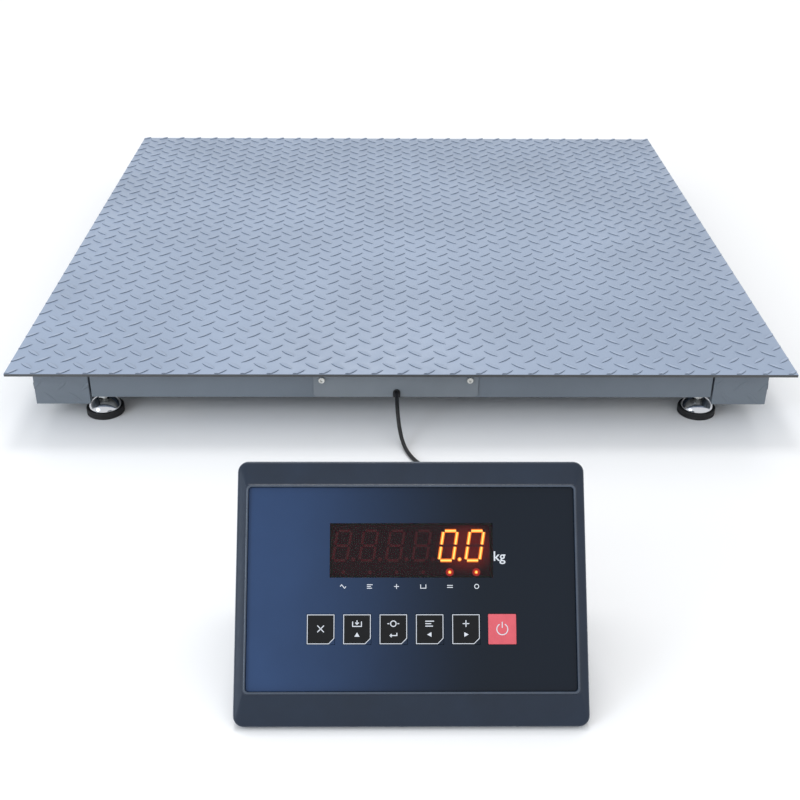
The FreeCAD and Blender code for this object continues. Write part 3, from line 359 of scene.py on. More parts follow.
def lathe(bm, profile, centre, axis=Vector((0, 0, 1)), steps=64, ripple=None):
    """Turn a profile of (radius, height) about an axis through centre. Its ends are closed with flat faces,
    but a profile whose last point meets its first is a ring. ripple gives what a radius gains at an angle and
    row."""
    side = axis.orthogonal().normalized()
    other = axis.cross(side)
    ring = profile[0] == profile[-1]
    rows = profile[:-1] if ring else profile
    loops = []
    for row, (radius, height) in enumerate(rows):
        loop = []
        for i in range(steps):
            turn = 2 * math.pi * i / steps
            r = radius + (ripple(turn, row) if ripple else 0)
            place = centre + axis * height + side * r * math.cos(turn)
            loop.append(bm.verts.new(place + other * r * math.sin(turn)))
        loops.append(loop)
    bridge(bm, loops, closed=ring)
    if not ring:
        bm.faces.new(loops[0])
        bm.faces.new(loops[-1])


def face_loop(bm, outline, out):
    """Vertices over an outline of (x, up) points, at one distance out of the indicator's face."""
    return [bm.verts.new(on_face(x, up, out)) for x, up in outline]


def prism(bm, outline, low, high):
    """A flat plate with an outline of (x, up) points, from one distance out of the face to another."""
    bottom, top = face_loop(bm, outline, low), face_loop(bm, outline, high)
    bridge(bm, [bottom, top])
    bm.faces.new(bottom)
    bm.faces.new(top)


def band(bm, outer, inner, low, high):
    """A flat ring between two outlines that have their points in step."""
    edges = ((outer, low), (outer, high), (inner, high), (inner, low))
    bridge(bm, [face_loop(bm, outline, out) for outline, out in edges], closed=True)


def stroke(bm, points, width, low, high):
    """A ribbon of a width along points on the face, mitred at its corners."""
    left, right = [], []
    vectors = [Vector(p) for p in points]
    for i, point in enumerate(vectors):
        before = (point - vectors[i - 1]).normalized() if i else None
        after = (vectors[i + 1] - point).normalized() if i + 1 < len(vectors) else None
        along = ((before or after) + (after or before)).normalized()
        reach = width / 2 / max(MITRE_LIMIT, along.dot(after or before))
        across = Vector((-along.y, along.x)) * reach
        left.append(tuple(point + across))
        right.append(tuple(point - across))
    prism(bm, left + right[::-1], low, high)


def in_metres(points, x=0, up=0):
    """Points in millimetres about a place that is given in metres, as points in metres."""
    return [(x + px * MM, up + py * MM) for px, py in points]


def arc(centre, radius, start, end, steps):
    """Points on an arc, between two angles in degrees."""
    angles = [math.radians(start + (end - start) * i / steps) for i in range(steps + 1)]
    return [(centre[0] + radius * math.cos(a), centre[1] + radius * math.sin(a)) for a in angles]


def circle(centre, radius, count=12):
    return arc(centre, radius, 0, 360 - 360 / count, count - 1)


def rounded(half_width, bottom, top, radius, steps):
    """A rectangle with rounded corners, as points that run round it from the lower left."""
    points = []
    corners = ((-1, bottom, 1, 180), (1, bottom, 1, 270), (1, top, -1, 0), (-1, top, -1, 90))
    for sign, edge, inward, start in corners:
        centre = (sign * (half_width - radius), edge + inward * radius)
        points += arc(centre, radius, start, start + 90, steps)
    return points


# -------------------- camera and lights

# The camera, fitted to the photograph: millimetres, metres and radians
LENS = 53.67
SENSOR = 36
CAMERA_PLACE = (-0.01953, -1.82338, 0.70288)
CAMERA_YAW = 0.01255
CAMERA_PITCH = 0.50958
CAMERA_ROLL = 0.00706
FLOOR_REACH = 12


def make_camera():
    """The viewpoint: in front of the indicator, a little above it, looking down over the deck."""
    camera = new_object("camera", bpy.data.cameras.new("camera"))
    camera.data.lens = LENS
    camera.data.sensor_width = SENSOR
    camera.location = CAMERA_PLACE
    turn = Matrix.Rotation(-CAMERA_YAW, 4, "Z") @ Matrix.Rotation(math.pi / 2 - CAMERA_PITCH, 4, "X")
    camera.rotation_mode = "QUATERNION"
    camera.rotation_quaternion = (turn @ Matrix.Rotation(CAMERA_ROLL, 4, "Z")).to_quaternion()
    bpy.context.scene.camera = camera


def make_light(name, kind, energy, place, target, size, colour=(1, 1, 1)):
    """A lamp aimed at a target. size is a sun's angle, or the width of a disk."""
    light = bpy.data.lights.new(name, kind)
    light.energy = energy
    light.color = colour
    if kind == "SUN":
        light.angle = size
    else:
        light.shape = "DISK"
        light.size = size
    lamp = new_object(name, light)
    lamp.location = place
    lamp.rotation_mode = "QUATERNION"
    lamp.rotation_quaternion = (Vector(target) - Vector(place)).to_track_quat("-Z", "Y")


def make_studio():
    """A pale floor, an even pale surround, and a soft key light from above and behind."""
    bm = bmesh.new()
    bmesh.ops.create_grid(bm, x_segments=8, y_segments=8, size=FLOOR_REACH)
    floor = new_object("floor", new_mesh("floor", bm))
    floor.location.z = FLOOR_Z
    floor.data.materials.append(MATERIALS["floor"])

    world = bpy.data.worlds.new("surround")
    world.use_nodes = True
    background = world.node_tree.nodes["Background"]
    background.inputs["Color"].default_value = (0.97, 0.985, 1.0, 1)
    background.inputs["Strength"].default_value = 0.95
    bpy.context.scene.world = world
    bpy.context.scene.view_settings.view_transform = "Standard"
    make_light("key_light", "SUN", energy=0.7, place=(-0.1, 1.7, 2.6), target=(0, 0, 0), size=0.3)
    make_light("side_light", "AREA", energy=20, place=(-2.2, -2.3, 1.2), target=(0, -0.9, 0), size=1.2,
               colour=(0.75, 0.87, 1.0))


# -------------------- signal cable

CABLE_RADIUS = 2.5 * MM
# The route out of the grommet to the coil, and on from the coil's top to the plug, in metres
LEAD_ROUTE = [
    (-0.007, -0.461, -0.0394), (-0.007, -0.486, -0.0394), (-0.006, -0.509, -0.050),
    (-0.0035, -0.526, -0.066), (0.001, -0.544, -0.0755), (0.0065, -0.5615, -0.0775),
    (0.0145, -0.579, -0.0775), (0.0265, -0.595, -0.0775), (0.0425, -0.608, -0.0775),
    (0.061, -0.6175, -0.0775), (0.078, -0.6265, -0.0775), (0.0925, -0.636, -0.0775),
    (0.1045, -0.646, -0.0775), (0.1145, -0.6595, -0.0772), (0.1225, -0.6735, -0.0766),
]
TAIL_ROUTE = [
    (0.092, -0.7263, -0.061), (0.076, -0.7268, -0.0625), (0.060, -0.729, -0.0675),
    (0.044, -0.7335, -0.074), (0.027, -0.7405, -0.0774), (0.010, -0.748, -0.0775),
    (-0.007, -0.756, -0.0774), (-0.024, -0.764, -0.0745), (-0.038, -0.7725, -0.0675),
    (-0.0485, -0.782, -0.0585), (-0.055, -0.7925, -0.0505), (-0.057, -0.804, -0.047),
    (-0.057, -0.81644, -0.047),
]
# The coil's middle, the radii of its columns of turns, its layers' pitch, the points in each turn, and the
# first part of a turn, in which it moves over to its new radius
COIL_CENTRE = (0.092, -0.691)
COIL_COLUMNS = (35.3 * MM, 30.1 * MM, 24.9 * MM, 19.7 * MM)
COIL_LAYER = 5.2 * MM
COIL_POINTS = 18
SHIFT_PART = 1 / 6


def coil_turns():
    """Each turn's radius, and the layers that it starts and ends in: in along a layer, up, and back."""
    outer, second, third, inner = COIL_COLUMNS
    return [(outer, 0, 0), (second, 0, 0), (third, 0, 0), (inner, 0, 1), (third, 1, 1), (second, 1, 1),
            (outer, 1, 2), (second, 2, 2), (third, 2, 2), (inner, 2, 3), (third, 3, 3), (second, 3, 3),
            (outer, 3, 3)]


def coil_points():
    """The coil's turns, clockwise seen from above, from the end of the lead to the start of the tail."""
    start = math.atan2(LEAD_ROUTE[-1][1] - COIL_CENTRE[1], LEAD_ROUTE[-1][0] - COIL_CENTRE[0])
    end = math.atan2(TAIL_ROUTE[0][1] - COIL_CENTRE[1], TAIL_ROUTE[0][0] - COIL_CENTRE[0])
    turns = coil_turns()
    last_part = (start - end) / (2 * math.pi)
    bottom = LEAD_ROUTE[-1][2]
    steps = int(COIL_POINTS * (len(turns) - 1 + last_part))
    points = []
    for step in range(1, steps):
        passed = (len(turns) - 1 + last_part) * step / steps
        index = int(passed)
        part = passed - index
        radius, low_layer, high_layer = turns[index]
        before = turns[index - 1][0] if index else radius
        shift = min(1, part / SHIFT_PART)
        r = before + (radius - before) * shift
        z = bottom + COIL_LAYER * (low_layer + (high_layer - low_layer) * part)
        angle = start - 2 * math.pi * passed
        points.append((COIL_CENTRE[0] + r * math.cos(angle), COIL_CENTRE[1] + r * math.sin(angle), z))
    return points


def make_cable():
    """The signal cable, one smooth line from the grommet through its coil to the plug."""
    curve = bpy.data.curves.new("signal_cable", "CURVE")
    curve.dimensions = "3D"
    curve.bevel_depth = CABLE_RADIUS
    curve.bevel_resolution = 5
    curve.use_fill_caps = True
    curve.resolution_u = 6
    spline = curve.splines.new("NURBS")
    points = LEAD_ROUTE + coil_points() + TAIL_ROUTE
    spline.points.add(len(points) - 1)
    for point, place in zip(spline.points, points):
        point.co = (*place, 1)
    spline.use_endpoint_u = True
    spline.order_u = 3
    cable = new_object("signal_cable", curve)
    curve.materials.append(MATERIALS["cable_jacket"])
    adopt(cable, "scale", ("signal_cable_lead", "signal_cable_coil", "signal_cable_tail"))
    return cable


TIE_WIDTH = 13 * MM
TIE_THICKNESS = 0.7 * MM
TIE_CORNER = 3 * MM
TIE_HEADINGS = (math.radians(150), math.radians(-30))
# How far a tie's outside is off the floor, above the coil and beside it
TIE_LIFT = 0.1 * MM
TIE_ABOVE = 1.1 * MM
TIE_BESIDE = 0.9 * MM


def make_ties():
    """Two hook-and-loop straps round the coil's section, on opposite sides."""
    bm = bmesh.new()
    low = FLOOR_Z + TIE_LIFT
    high = LEAD_ROUTE[-1][2] + 3 * COIL_LAYER + CABLE_RADIUS + TIE_ABOVE
    middle_r = (COIL_COLUMNS[0] + COIL_COLUMNS[-1]) / 2
    half = (COIL_COLUMNS[0] - COIL_COLUMNS[-1]) / 2 + CABLE_RADIUS + TIE_BESIDE
    for heading in TIE_HEADINGS:
        outward = Vector((math.cos(heading), math.sin(heading), 0))
        across = Vector((-outward.y, outward.x, 0))
        centre = Vector((*COIL_CENTRE, 0)) + outward * middle_r
        loops = []
        for inset, sides in ((0, (-1, 1)), (TIE_THICKNESS, (1, -1))):
            outline = rounded(half - inset, low + inset, high - inset, TIE_CORNER - inset, 4)
            for side in sides:
                edge = across * side * TIE_WIDTH / 2
                loops.append([bm.verts.new(centre + outward * x + Vector((0, 0, z)) + edge)
                              for x, z in outline])
        bridge(bm, loops, closed=True)
    return new_piece("coil_ties", bm, "cable_jacket", material="tie_fabric")


# The plug's shell, as shares of the plug's radius and millimetres from its front, and its taper, in
# millimetres before the boot. The first four rows are the nut, and the middle two of them are knurled.
SHELL_PROFILE = ((0.92, 0), (1, 0.5), (1, 9.5), (0.92, 10), (0.8, 10.4), (0.8, 12), (0.9, 12.6), (0.9, 23))
SHELL_TAPER = ((0.75, 1), (0.6, 0))
KNURLED_ROWS = (1, 2)
KNURL_DEPTH = 0.22 * MM
KNURL_TEETH = 32
# The boot starts a little inside the shell. Its ribs narrow from one share of the plug's radius by another,
# down to its tip, as radii and distances before its end in millimetres.
BOOT_LENGTH = 14 * MM
BOOT_START = (0.62, 0.8 * MM)
BOOT_RIBS = 5
RIB_RADIUS = 0.56
RIB_TAPER = 0.15
RIB_PROFILE = ((1, 0), (1, 1.5), (0.8, 1.8), (0.8, 2.3))
BOOT_TIP = ((3.1, 1), (2.8, 0))
TIP_LENGTH = 1.2 * MM


def make_plug():
    """The connector on the cable's end: a knurled nut, a shell and a ribbed boot."""
    low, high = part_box("signal_plug")
    centre = Vector(((low.x + high.x) / 2, low.y, (low.z + high.z) / 2))
    axis = Vector((0, 1, 0))
    length = high.y - low.y
    r = (high.x - low.x) / 2
    boot = length - BOOT_LENGTH

    def knurl(turn, row):
        return KNURL_DEPTH * math.cos(turn * KNURL_TEETH) if row in KNURLED_ROWS else 0

    profile = [(r * share, along * MM) for share, along in SHELL_PROFILE]
    profile += [(r * share, boot - before * MM) for share, before in SHELL_TAPER]
    bm = bmesh.new()
    lathe(bm, profile, centre, axis, 128, knurl)
    shell = new_piece("plug_shell", bm, "connector_metal", replaces=("signal_plug",), sharp=50)

    profile = [(r * BOOT_START[0], boot - BOOT_START[1])]
    for i in range(BOOT_RIBS):
        start = boot + (length - boot - TIP_LENGTH) * i / BOOT_RIBS
        radius = r * (RIB_RADIUS - RIB_TAPER * i / BOOT_RIBS)
        profile += [(radius * share, start + along * MM) for share, along in RIB_PROFILE]
    profile += [(radius * MM, length - before * MM) for radius, before in BOOT_TIP]
    bm = bmesh.new()
    lathe(bm, profile, centre, axis, 48)
    return shell, new_piece("plug_boot", bm, "foot_rubber", material="gland_nylon")


# -------------------- tread plate

TREAD_PITCH = (32.9 * MM, 35.4 * MM)
TREAD_LENGTH = 25 * MM
TREAD_WIDTH = 5.4 * MM
TREAD_HEIGHT = 1.7 * MM
SKIRT_TREAD_HEIGHT = 0.5 * MM
TREAD_SINK = 0.2 * MM
TREAD_STEPS = 6
TREAD_TURN = math.radians(43)
# A tread's shoulder and the edge of its crown, as shares of its half width and height, the least share of its
# width, at its points, and the power by which its crown falls to them
TREAD_SHOULDER = (0.84, 0.72)
TREAD_CROWN = 0.35
TREAD_POINT = 0.05
CROWN_POWER = 0.4
TREAD_SHARP = 50
CUT_TOLERANCE = 0.001 * MM
# The deck plate's rounded edge. Its sides are the only steep faces over this area, in square metres.
PLATE_EDGE = 0.8 * MM
EDGE_FACE_AREA = 0.0003
EDGE_NORMAL = 0.9


def tread(bm, centre, along, normal, height):
    """One lens-shaped tread with steep sides and a rounded crown, its foot sunk under the surface."""
    across = normal.cross(along)
    loops = []
    for i in range(TREAD_STEPS + 1):
        t = -1 + 2 * i / TREAD_STEPS
        foot = TREAD_WIDTH / 2 * max(TREAD_POINT, 1 - t * t)
        crown = height * (1 - t * t) ** CROWN_POWER
        side, level, top = foot * TREAD_SHOULDER[0], crown * TREAD_SHOULDER[1], foot * TREAD_CROWN
        section = ((-foot, -TREAD_SINK), (-side, level), (-top, crown), (top, crown), (side, level),
                   (foot, -TREAD_SINK))
        middle = centre + along * (t * TREAD_LENGTH / 2)
        loops.append([bm.verts.new(middle + across * a + normal * h) for a, h in section])
    bridge(bm, loops)
    bm.faces.new(reversed(loops[0]))
    bm.faces.new(loops[-1])


def treads_over(bm, origin, right, forward, half_width, half_depth, height=TREAD_HEIGHT):
    """Treads in two leaning rows over a rectangle, cut off flush at its edges, as when plate is sheared."""
    lugs = bmesh.new()
    columns = int(half_width / TREAD_PITCH[0]) + 2
    rows = int(half_depth / TREAD_PITCH[1]) + 2
    for i in range(-columns, columns + 1):
        for j in range(-rows, rows + 1):
            for shift, turn in ((0, TREAD_TURN), (0.5, -TREAD_TURN)):
                x, y = (i + shift) * TREAD_PITCH[0], (j + shift) * TREAD_PITCH[1]
                if abs(x) > half_width + TREAD_LENGTH or abs(y) > half_depth + TREAD_LENGTH:
                    continue
                along = right * math.cos(turn) + forward * math.sin(turn)
                tread(lugs, origin + right * x + forward * y, along, right.cross(forward), height)
    for outward, reach in ((right, half_width), (forward, half_depth)):
        for side in (outward, -outward):
            everything = [*lugs.verts, *lugs.edges, *lugs.faces]
            cut = bmesh.ops.bisect_plane(lugs, geom=everything, dist=CUT_TOLERANCE, plane_no=side,
                                         plane_co=origin + side * reach, clear_outer=True)
            rims = [item for item in cut["geom_cut"] if isinstance(item, bmesh.types.BMEdge)]
            bmesh.ops.holes_fill(lugs, edges=rims, sides=0)
    mesh = new_mesh("lugs", lugs)
    bm.from_mesh(mesh)
    bpy.data.meshes.remove(mesh)


def plate_box(bm, low, high, radius):
    """A plate with its edges rounded by a radius, as a bmesh's first shape."""
    bmesh.ops.create_cube(bm, size=1)
    size = high - low
    middle = (low + high) / 2
    for vert in bm.verts:
        vert.co = Vector([vert.co[k] * size[k] + middle[k] for k in range(3)])
    bmesh.ops.bevel(bm, geom=bm.edges[:], offset=radius, segments=2, profile=0.5, affect="EDGES")


def make_deck():
    """The checker plate, whose sides take a darker enamel colour than its top, as painted shade."""
    low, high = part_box("deck_plate")
    bm = bmesh.new()
    plate_box(bm, low, high, PLATE_EDGE)
    middle = (low + high) / 2
    middle.z = high.z
    half_width, half_depth = ((high[k] - low[k]) / 2 - PLATE_EDGE for k in (0, 1))
    treads_over(bm, middle, Vector((1, 0, 0)), Vector((0, 1, 0)), half_width, half_depth)
    deck = new_piece("deck_treads", bm, "tread_plate", replaces=("deck_plate",), sharp=TREAD_SHARP)
    # Painted shade: the plate's steep sides take the darker material
    deck.data.materials.append(MATERIALS["plate_side_shade"])
    for face in deck.data.polygons:
        if face.area > EDGE_FACE_AREA and abs(face.normal.z) < EDGE_NORMAL:
            face.material_index = 1


def make_corner_treads():
    """The treads on the two outward sides of each corner box, lower than the deck's."""
    up = Vector((0, 0, 1))
    for corner in CORNERS:
        low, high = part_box(f"corner_box_{corner}")
        sx = 1 if "right" in corner else -1
        sy = 1 if "rear" in corner else -1
        middle = (low + high) / 2
        half, tall = (high.x - low.x) / 2, (high.z - low.z) / 2
        bm = bmesh.new()
        for normal in (Vector((sx, 0, 0)), Vector((0, sy, 0))):
            treads_over(bm, middle + normal * half, up.cross(normal), up, half, tall, SKIRT_TREAD_HEIGHT)
        # They take the frame's colour, which has painted shade
        new_piece(f"corner_treads_{corner}", bm, "frame_paint", sharp=TREAD_SHARP)


# -------------------- levelling feet

# Profiles as radii and heights above the floor, in millimetres. The cup is a chrome dome with a rolled rim
# and a socket for the stud's ball, and the pad a rubber ring, grooved round its side and under its sole.
CUP_PROFILE = (
    (4, 4.5), (19.6, 4.5), (21.0, 4.9), (21.4, 6.2), (21.3, 9.6), (20.6, 11.6), (18.6, 14.6), (15.6, 17.4),
    (12.4, 19.3), (9.8, 20.4), (8.4, 21.0), (7.2, 21.0), (6.75, 20.4), (6.75, 15.9), (7.08, 12.5), (6.3, 9.4),
    (4.0, 6.8), (4, 4.5),
)
PAD_PROFILE = (
    (23.6, 0), (24.4, 0.6), (24.5, 3.0), (24.1, 3.5), (24.1, 4.3), (24.5, 4.8), (24.5, 8.2), (24.1, 9.2),
    (23.4, 9.5), (22.2, 9.4), (21.6, 8.6), (21.5, 4.5), (3, 4.4), (3, 0.8), (8, 0.8), (9, 0), (12, 0),
    (13, 0.8), (15, 0.8), (16, 0), (18, 0), (19, 0.8), (20.5, 0.8), (21.5, 0), (23.6, 0),
)
# The stud's ball, its rows' angles from its lowest point, its neck and its hexagon, in millimetres too
BALL_RADIUS = 7
BALL_HEIGHT = 12.5
BALL_DEGREES = range(12, 140, 16)
NECK_PROFILE = ((4.8, 18.6), (4.8, 23.4))
HEXAGON_PROFILE = ((6.9, 23.2), (8.08, 23.8), (8.08, 27.1), (6.9, 27.7))
THREAD_ROOT = 5.2 * MM
THREAD_CREST = 6 * MM
THREAD_PITCH = 1.75 * MM
# Where the shank starts, where its thread starts, and how much of its top end has none
SHANK_START = 27.6 * MM
THREAD_START = 28.2 * MM
THREAD_MARGIN = 1 * MM


def make_feet():
    """The four feet: a cup and a pad that tilt together, and the stud above them."""
    for corner in CORNERS:
        low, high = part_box(f"foot_pad_{corner}")
        axis = Vector(((low.x + high.x) / 2, (low.y + high.y) / 2, low.z))
        for part, profile, slot in (("cup", CUP_PROFILE, "foot_chrome"), ("pad", PAD_PROFILE, "foot_rubber")):
            bm = bmesh.new()
            lathe(bm, in_metres(profile), axis)
            node = f"foot_{part}_{corner}"
            new_piece(f"{part}_{corner}", bm, slot, f"base_{corner}", (node,), sharp=40)
        make_foot_stud(corner, axis)


def make_foot_stud(corner, axis):
    """The ball-ended stud, with a hexagon for the spanner and thread above it."""
    low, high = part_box(f"foot_stud_{corner}")
    top = (high.z - low.z) + (BALL_HEIGHT - BALL_RADIUS) * MM
    bm = bmesh.new()
    ball = [(BALL_RADIUS * math.sin(math.radians(a)), BALL_HEIGHT - BALL_RADIUS * math.cos(math.radians(a)))
            for a in BALL_DEGREES]
    lathe(bm, in_metres([*ball, *NECK_PROFILE]), axis)
    lathe(bm, in_metres(HEXAGON_PROFILE), axis, steps=6)
    thread = [(THREAD_ROOT, SHANK_START)]
    z = THREAD_START
    while z + THREAD_PITCH < top - THREAD_MARGIN:
        thread += [(THREAD_ROOT, z), (THREAD_CREST, z + THREAD_PITCH * 0.5)]
        z += THREAD_PITCH
    thread += [(THREAD_ROOT, z), (THREAD_ROOT, top)]
    lathe(bm, thread, axis, steps=32)
    new_piece(f"stud_{corner}", bm, "zinc_steel", f"stud_{corner}", (f"foot_stud_{corner}",), sharp=30)


# -------------------- indicator

# The bezel's faces from these rows to the next take a lighter material, a painted highlight: the bead's crown
# and the outer edge
HIGHLIGHT_ROWS = (4, 5, 10)
CASE_CORNER_STEPS = 8
# How far the bezel reaches below the face's lowest point, and how thick its wall is
BEZEL_CHIN = 2.2 * MM
BEZEL_WALL = 3 * MM


def make_bezel():
    """The front casing: bands that slope down from a raised bead round the panel to soft outer edges."""
    panel = (PANEL_HALF_WIDTH, PANEL_BOTTOM, PANEL_TOP)
    case = (CASE_HALF_WIDTH, 0.0, FACE_LENGTH)
    # Each row is the rectangle it follows, then in millimetres how far outside it, its corner radius, and how
    # far out it is at the bottom and top. They run from the panel's opening over the bead to the inside.
    rows = [
        (panel, -5.0, 1.0, -7.0, -7.0), (panel, -5.0, 1.0, -5.1, -5.1), (panel, 0.0, 3.0, -5.1, -5.1),
        (panel, 0.0, 3.0, -0.9, -0.9), (panel, 0.3, 3.2, -0.3, -0.3), (panel, 1.1, 3.8, 0.0, 0.0),
        (panel, 2.0, 4.0, -0.3, -0.3), (panel, 2.7, 3.0, -1.5, -1.5), (panel, 3.3, 2.4, -2.0, -2.0),
        (case, -2.4, 7.8, -4.6, -5.6), (case, -1.0, 9.0, -5.2, -6.4), (case, -0.25, 9.7, -6.0, -7.6),
        (case, 0.0, 10.0, -7.4, -9.4), (case, 0.0, 10.0, -18.0, -18.0), (case, -3.0, 7.0, -18.0, -18.0),
        (case, -3.0, 7.0, -8.5, -8.5),
    ]
    bm = bmesh.new()
    loops = []
    for (half, bottom, top), outside, radius, out_low, out_high in rows:
        outside, radius, out_low, out_high = (v * MM for v in (outside, radius, out_low, out_high))
        low, high = bottom - outside, top + outside
        if bottom == 0.0:
            floor_up = (-LIP_HEIGHT - out_low * math.cos(FACE_SLOPE)) / math.sin(FACE_SLOPE)
            inner = outside <= -BEZEL_WALL
            low = max(floor_up, 0) + BEZEL_WALL if inner else max(floor_up, low - BEZEL_CHIN)
        loop = []
        for x, up in rounded(half + outside, low, high, radius, CASE_CORNER_STEPS):
            out = out_low + (out_high - out_low) * (up - low) / (high - low)
            loop.append(bm.verts.new(on_face(x, up, out)))
        loops.append(loop)
    bridge(bm, loops, closed=True)
    # Painted highlight on the bead's crown and the outer edge
    for index, face in enumerate(bm.faces):
        face.material_index = int(index // len(loops[0]) in HIGHLIGHT_ROWS)
    casing = new_piece("bezel_casing", bm, "case_plastic", replaces=("indicator_bezel",), sharp=40)
    casing.data.materials.append(MATERIALS["case_painted_highlight"])


REAR_LEAN = 13 * MM
BEZEL_DEPTH = 18 * MM
# The rear case's edge is this far inside the bezel's, and its corners and edges have these radii
REAR_INSET = 0.2 * MM
REAR_CORNER = 9.8 * MM
REAR_EDGE = 1.5 * MM
REAR_EDGE_ANGLE = math.radians(30)
CREASE_STEPS = 400


def make_rear_case():
    """The casing behind the bezel, whose sides run straight back to the base and the rear wall."""
    low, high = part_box("indicator_rear_shell")
    slope_cos, slope_sin = math.cos(FACE_SLOPE), math.sin(FACE_SLOPE)
    rear_top = on_face(0, FACE_LENGTH, -BEZEL_DEPTH)
    wall = Vector((0, REAR_LEAN, low.z - rear_top.z))
    wall_normal = Vector((0, -wall.z, wall.y)).normalized()

    def back_out(up):
        """How far out of the face the base or the rear wall is: below zero, as both are behind it."""
        start = on_face(0, up, 0)
        to_base = (start.z - low.z) / slope_cos
        to_wall = (rear_top - start).dot(wall_normal) / -FACE_OUT.dot(wall_normal)
        return -min(to_base, to_wall)

    # Up the face: where the bezel's back edge meets the base, and where the base meets the rear wall
    first = (BEZEL_DEPTH * slope_cos - LIP_HEIGHT) / slope_sin
    ups = [first + (FACE_LENGTH - first) * i / CREASE_STEPS for i in range(CREASE_STEPS + 1)]
    crease = min(ups, key=back_out)
    half = CASE_HALF_WIDTH - REAR_INSET
    outline = rounded(half, first, FACE_LENGTH - REAR_INSET, REAR_CORNER, CASE_CORNER_STEPS)
    side = [(half, first), (half, crease)] + [p for p in outline if p[0] > 0 and p[1] > crease]
    points = side + [(-x, up) for x, up in reversed(side)]
    bm = bmesh.new()
    front = face_loop(bm, points, -BEZEL_DEPTH)
    back = [front[i] if points[i][1] == first else bm.verts.new(on_face(x, up, back_out(up)))
            for i, (x, up) in enumerate(points)]
    count = len(points)
    for i in range(count):
        quad = [front[i], front[(i + 1) % count], back[(i + 1) % count], back[i]]
        corners = list(dict.fromkeys(quad))
        if len(corners) > 2:
            bm.faces.new(corners)
    bm.faces.new(front)
    bm.faces.new((back[0], back[1], back[-2], back[-1]))
    bm.faces.new(back[1:-1])
    bmesh.ops.recalc_face_normals(bm, faces=bm.faces)
    edges = [e for e in bm.edges if len(e.link_faces) == 2 and e.calc_face_angle(0) > REAR_EDGE_ANGLE]
    bmesh.ops.bevel(bm, geom=edges, offset=REAR_EDGE, segments=3, profile=0.5, affect="EDGES",
                    clamp_overlap=True)
    new_piece("rear_case", bm, "case_plastic", replaces=("indicator_rear_shell",))


KEYS = ("clear", "tare", "zero", "function", "sum", "power")
KEY_LOW = KEY_BOTTOM + KEY_FIT
KEY_CORNER = 0.8 * MM
# A keycap's rows, as its inset and its height against the crown, in millimetres
CAP_ROWS = ((0.0, -2.0), (0.0, -0.35), (0.12, -0.1), (0.4, 0.0))
# The cut corner of a key's print, and how much less it is for each millimetre that the outline is inset
KEY_CHAMFER = 5.2 * MM
CHAMFER_LOSS = 0.59
# The insets of a key's black field, and of its white line's two sides
FIELD_INSET = 0.9 * MM
LINE_INSETS = (0.35 * MM, 0.95 * MM)
ICON_STROKE = 0.85 * MM


def key_outline(centre, inset):
    """A key's outline with its lower right corner cut off."""
    half = KEY_SIZE[0] / 2 - inset
    bottom, top = KEY_LOW + inset, KEY_LOW + KEY_SIZE[1] - inset
    cut = KEY_CHAMFER - inset * CHAMFER_LOSS
    return [(centre - half, bottom), (centre + half - cut, bottom), (centre + half, bottom + cut),
            (centre + half, top), (centre - half, top)]


def icon_strokes(key):
    """Each key's symbols, in millimetres about its centre: lines to draw and shapes to fill."""
    lines = {
        "clear": [[(-3, -2.6), (3, 3.4)], [(-3, 3.4), (3, -2.6)]],
        "tare": [[(-4, 7), (-4, 2.6), (4, 2.6), (4, 7)], [(0, 8), (0, 4.6)],
                 [(-1.6, 6), (0, 4.4), (1.6, 6)]],
        "zero": [arc((0, 5), 2.5, 0, 360, 20), [(-5.4, 5), (-3.6, 5)], [(3.6, 5), (5.4, 5)],
                 [(3.2, -3.2), (3.2, -5.6), (-3, -5.6)], [(-1.6, -4.2), (-3, -5.6), (-1.6, -7)]],
        "function": [[(-4, 7.2), (4, 7.2)], [(-4, 5), (1.4, 5)], [(-4, 2.8), (3, 2.8)]],
        "sum": [[(0, 8), (0, 2)], [(-3, 5), (3, 5)]],
        "power": [arc((0, 0), 5, 118, 422, 26), [(0, 1.2), (0, 6.6)]],
    }
    fills = {
        "tare": [(-2.4, -6.6), (2.4, -6.6), (0, -2.8)],
        "function": [(1.6, -6.8), (1.6, -2.6), (-2.4, -4.7)],
        "sum": [(-1.6, -6.8), (2.4, -4.7), (-1.6, -2.6)],
    }
    return lines[key], fills.get(key)


def make_keys():
    """Six domed caps under the film, each with its ink: a black field with a white outline, or solid red."""
    field_top, ink_top = KEY_OUT + PRINT_THICKNESS, KEY_OUT + PRINT_THICKNESS * 1.5
    for index, key in enumerate(KEYS):
        centre = (index - (len(KEYS) - 1) / 2) * KEY_PITCH
        body = f"{key}_key"
        red = key == "power"
        slot = "key_red" if red else "overlay_film"
        bm = bmesh.new()
        loops = []
        for inset, level in CAP_ROWS:
            inset *= MM
            outline = rounded(KEY_SIZE[0] / 2 - inset, KEY_LOW + inset, KEY_LOW + KEY_SIZE[1] - inset,
                              KEY_CORNER - inset / 2, 3)
            loops.append(face_loop(bm, [(centre + x, up) for x, up in outline], KEY_OUT + level * MM))
        bridge(bm, loops)
        bm.faces.new(loops[0])
        bm.faces.new(loops[-1])
        new_piece(f"keycap_{key}", bm, slot, body, (f"key_{key}",))

        ink = bmesh.new()
        if not red:
            bm = bmesh.new()
            prism(bm, key_outline(centre, FIELD_INSET), KEY_OUT, field_top)
            new_piece(f"key_field_{key}", bm, "key_black", body)
            band(ink, *(key_outline(centre, inset) for inset in LINE_INSETS), KEY_OUT, ink_top)
        lines, fill = icon_strokes(key)
        place = (centre, KEY_LOW + KEY_SIZE[1] / 2)
        for line in lines:
            stroke(ink, in_metres(line, *place), ICON_STROKE, KEY_OUT, ink_top)
        if fill:
            prism(ink, in_metres(fill, *place), KEY_OUT, ink_top)
        new_piece(f"key_print_{key}", ink, slot, body, material="white_ink")


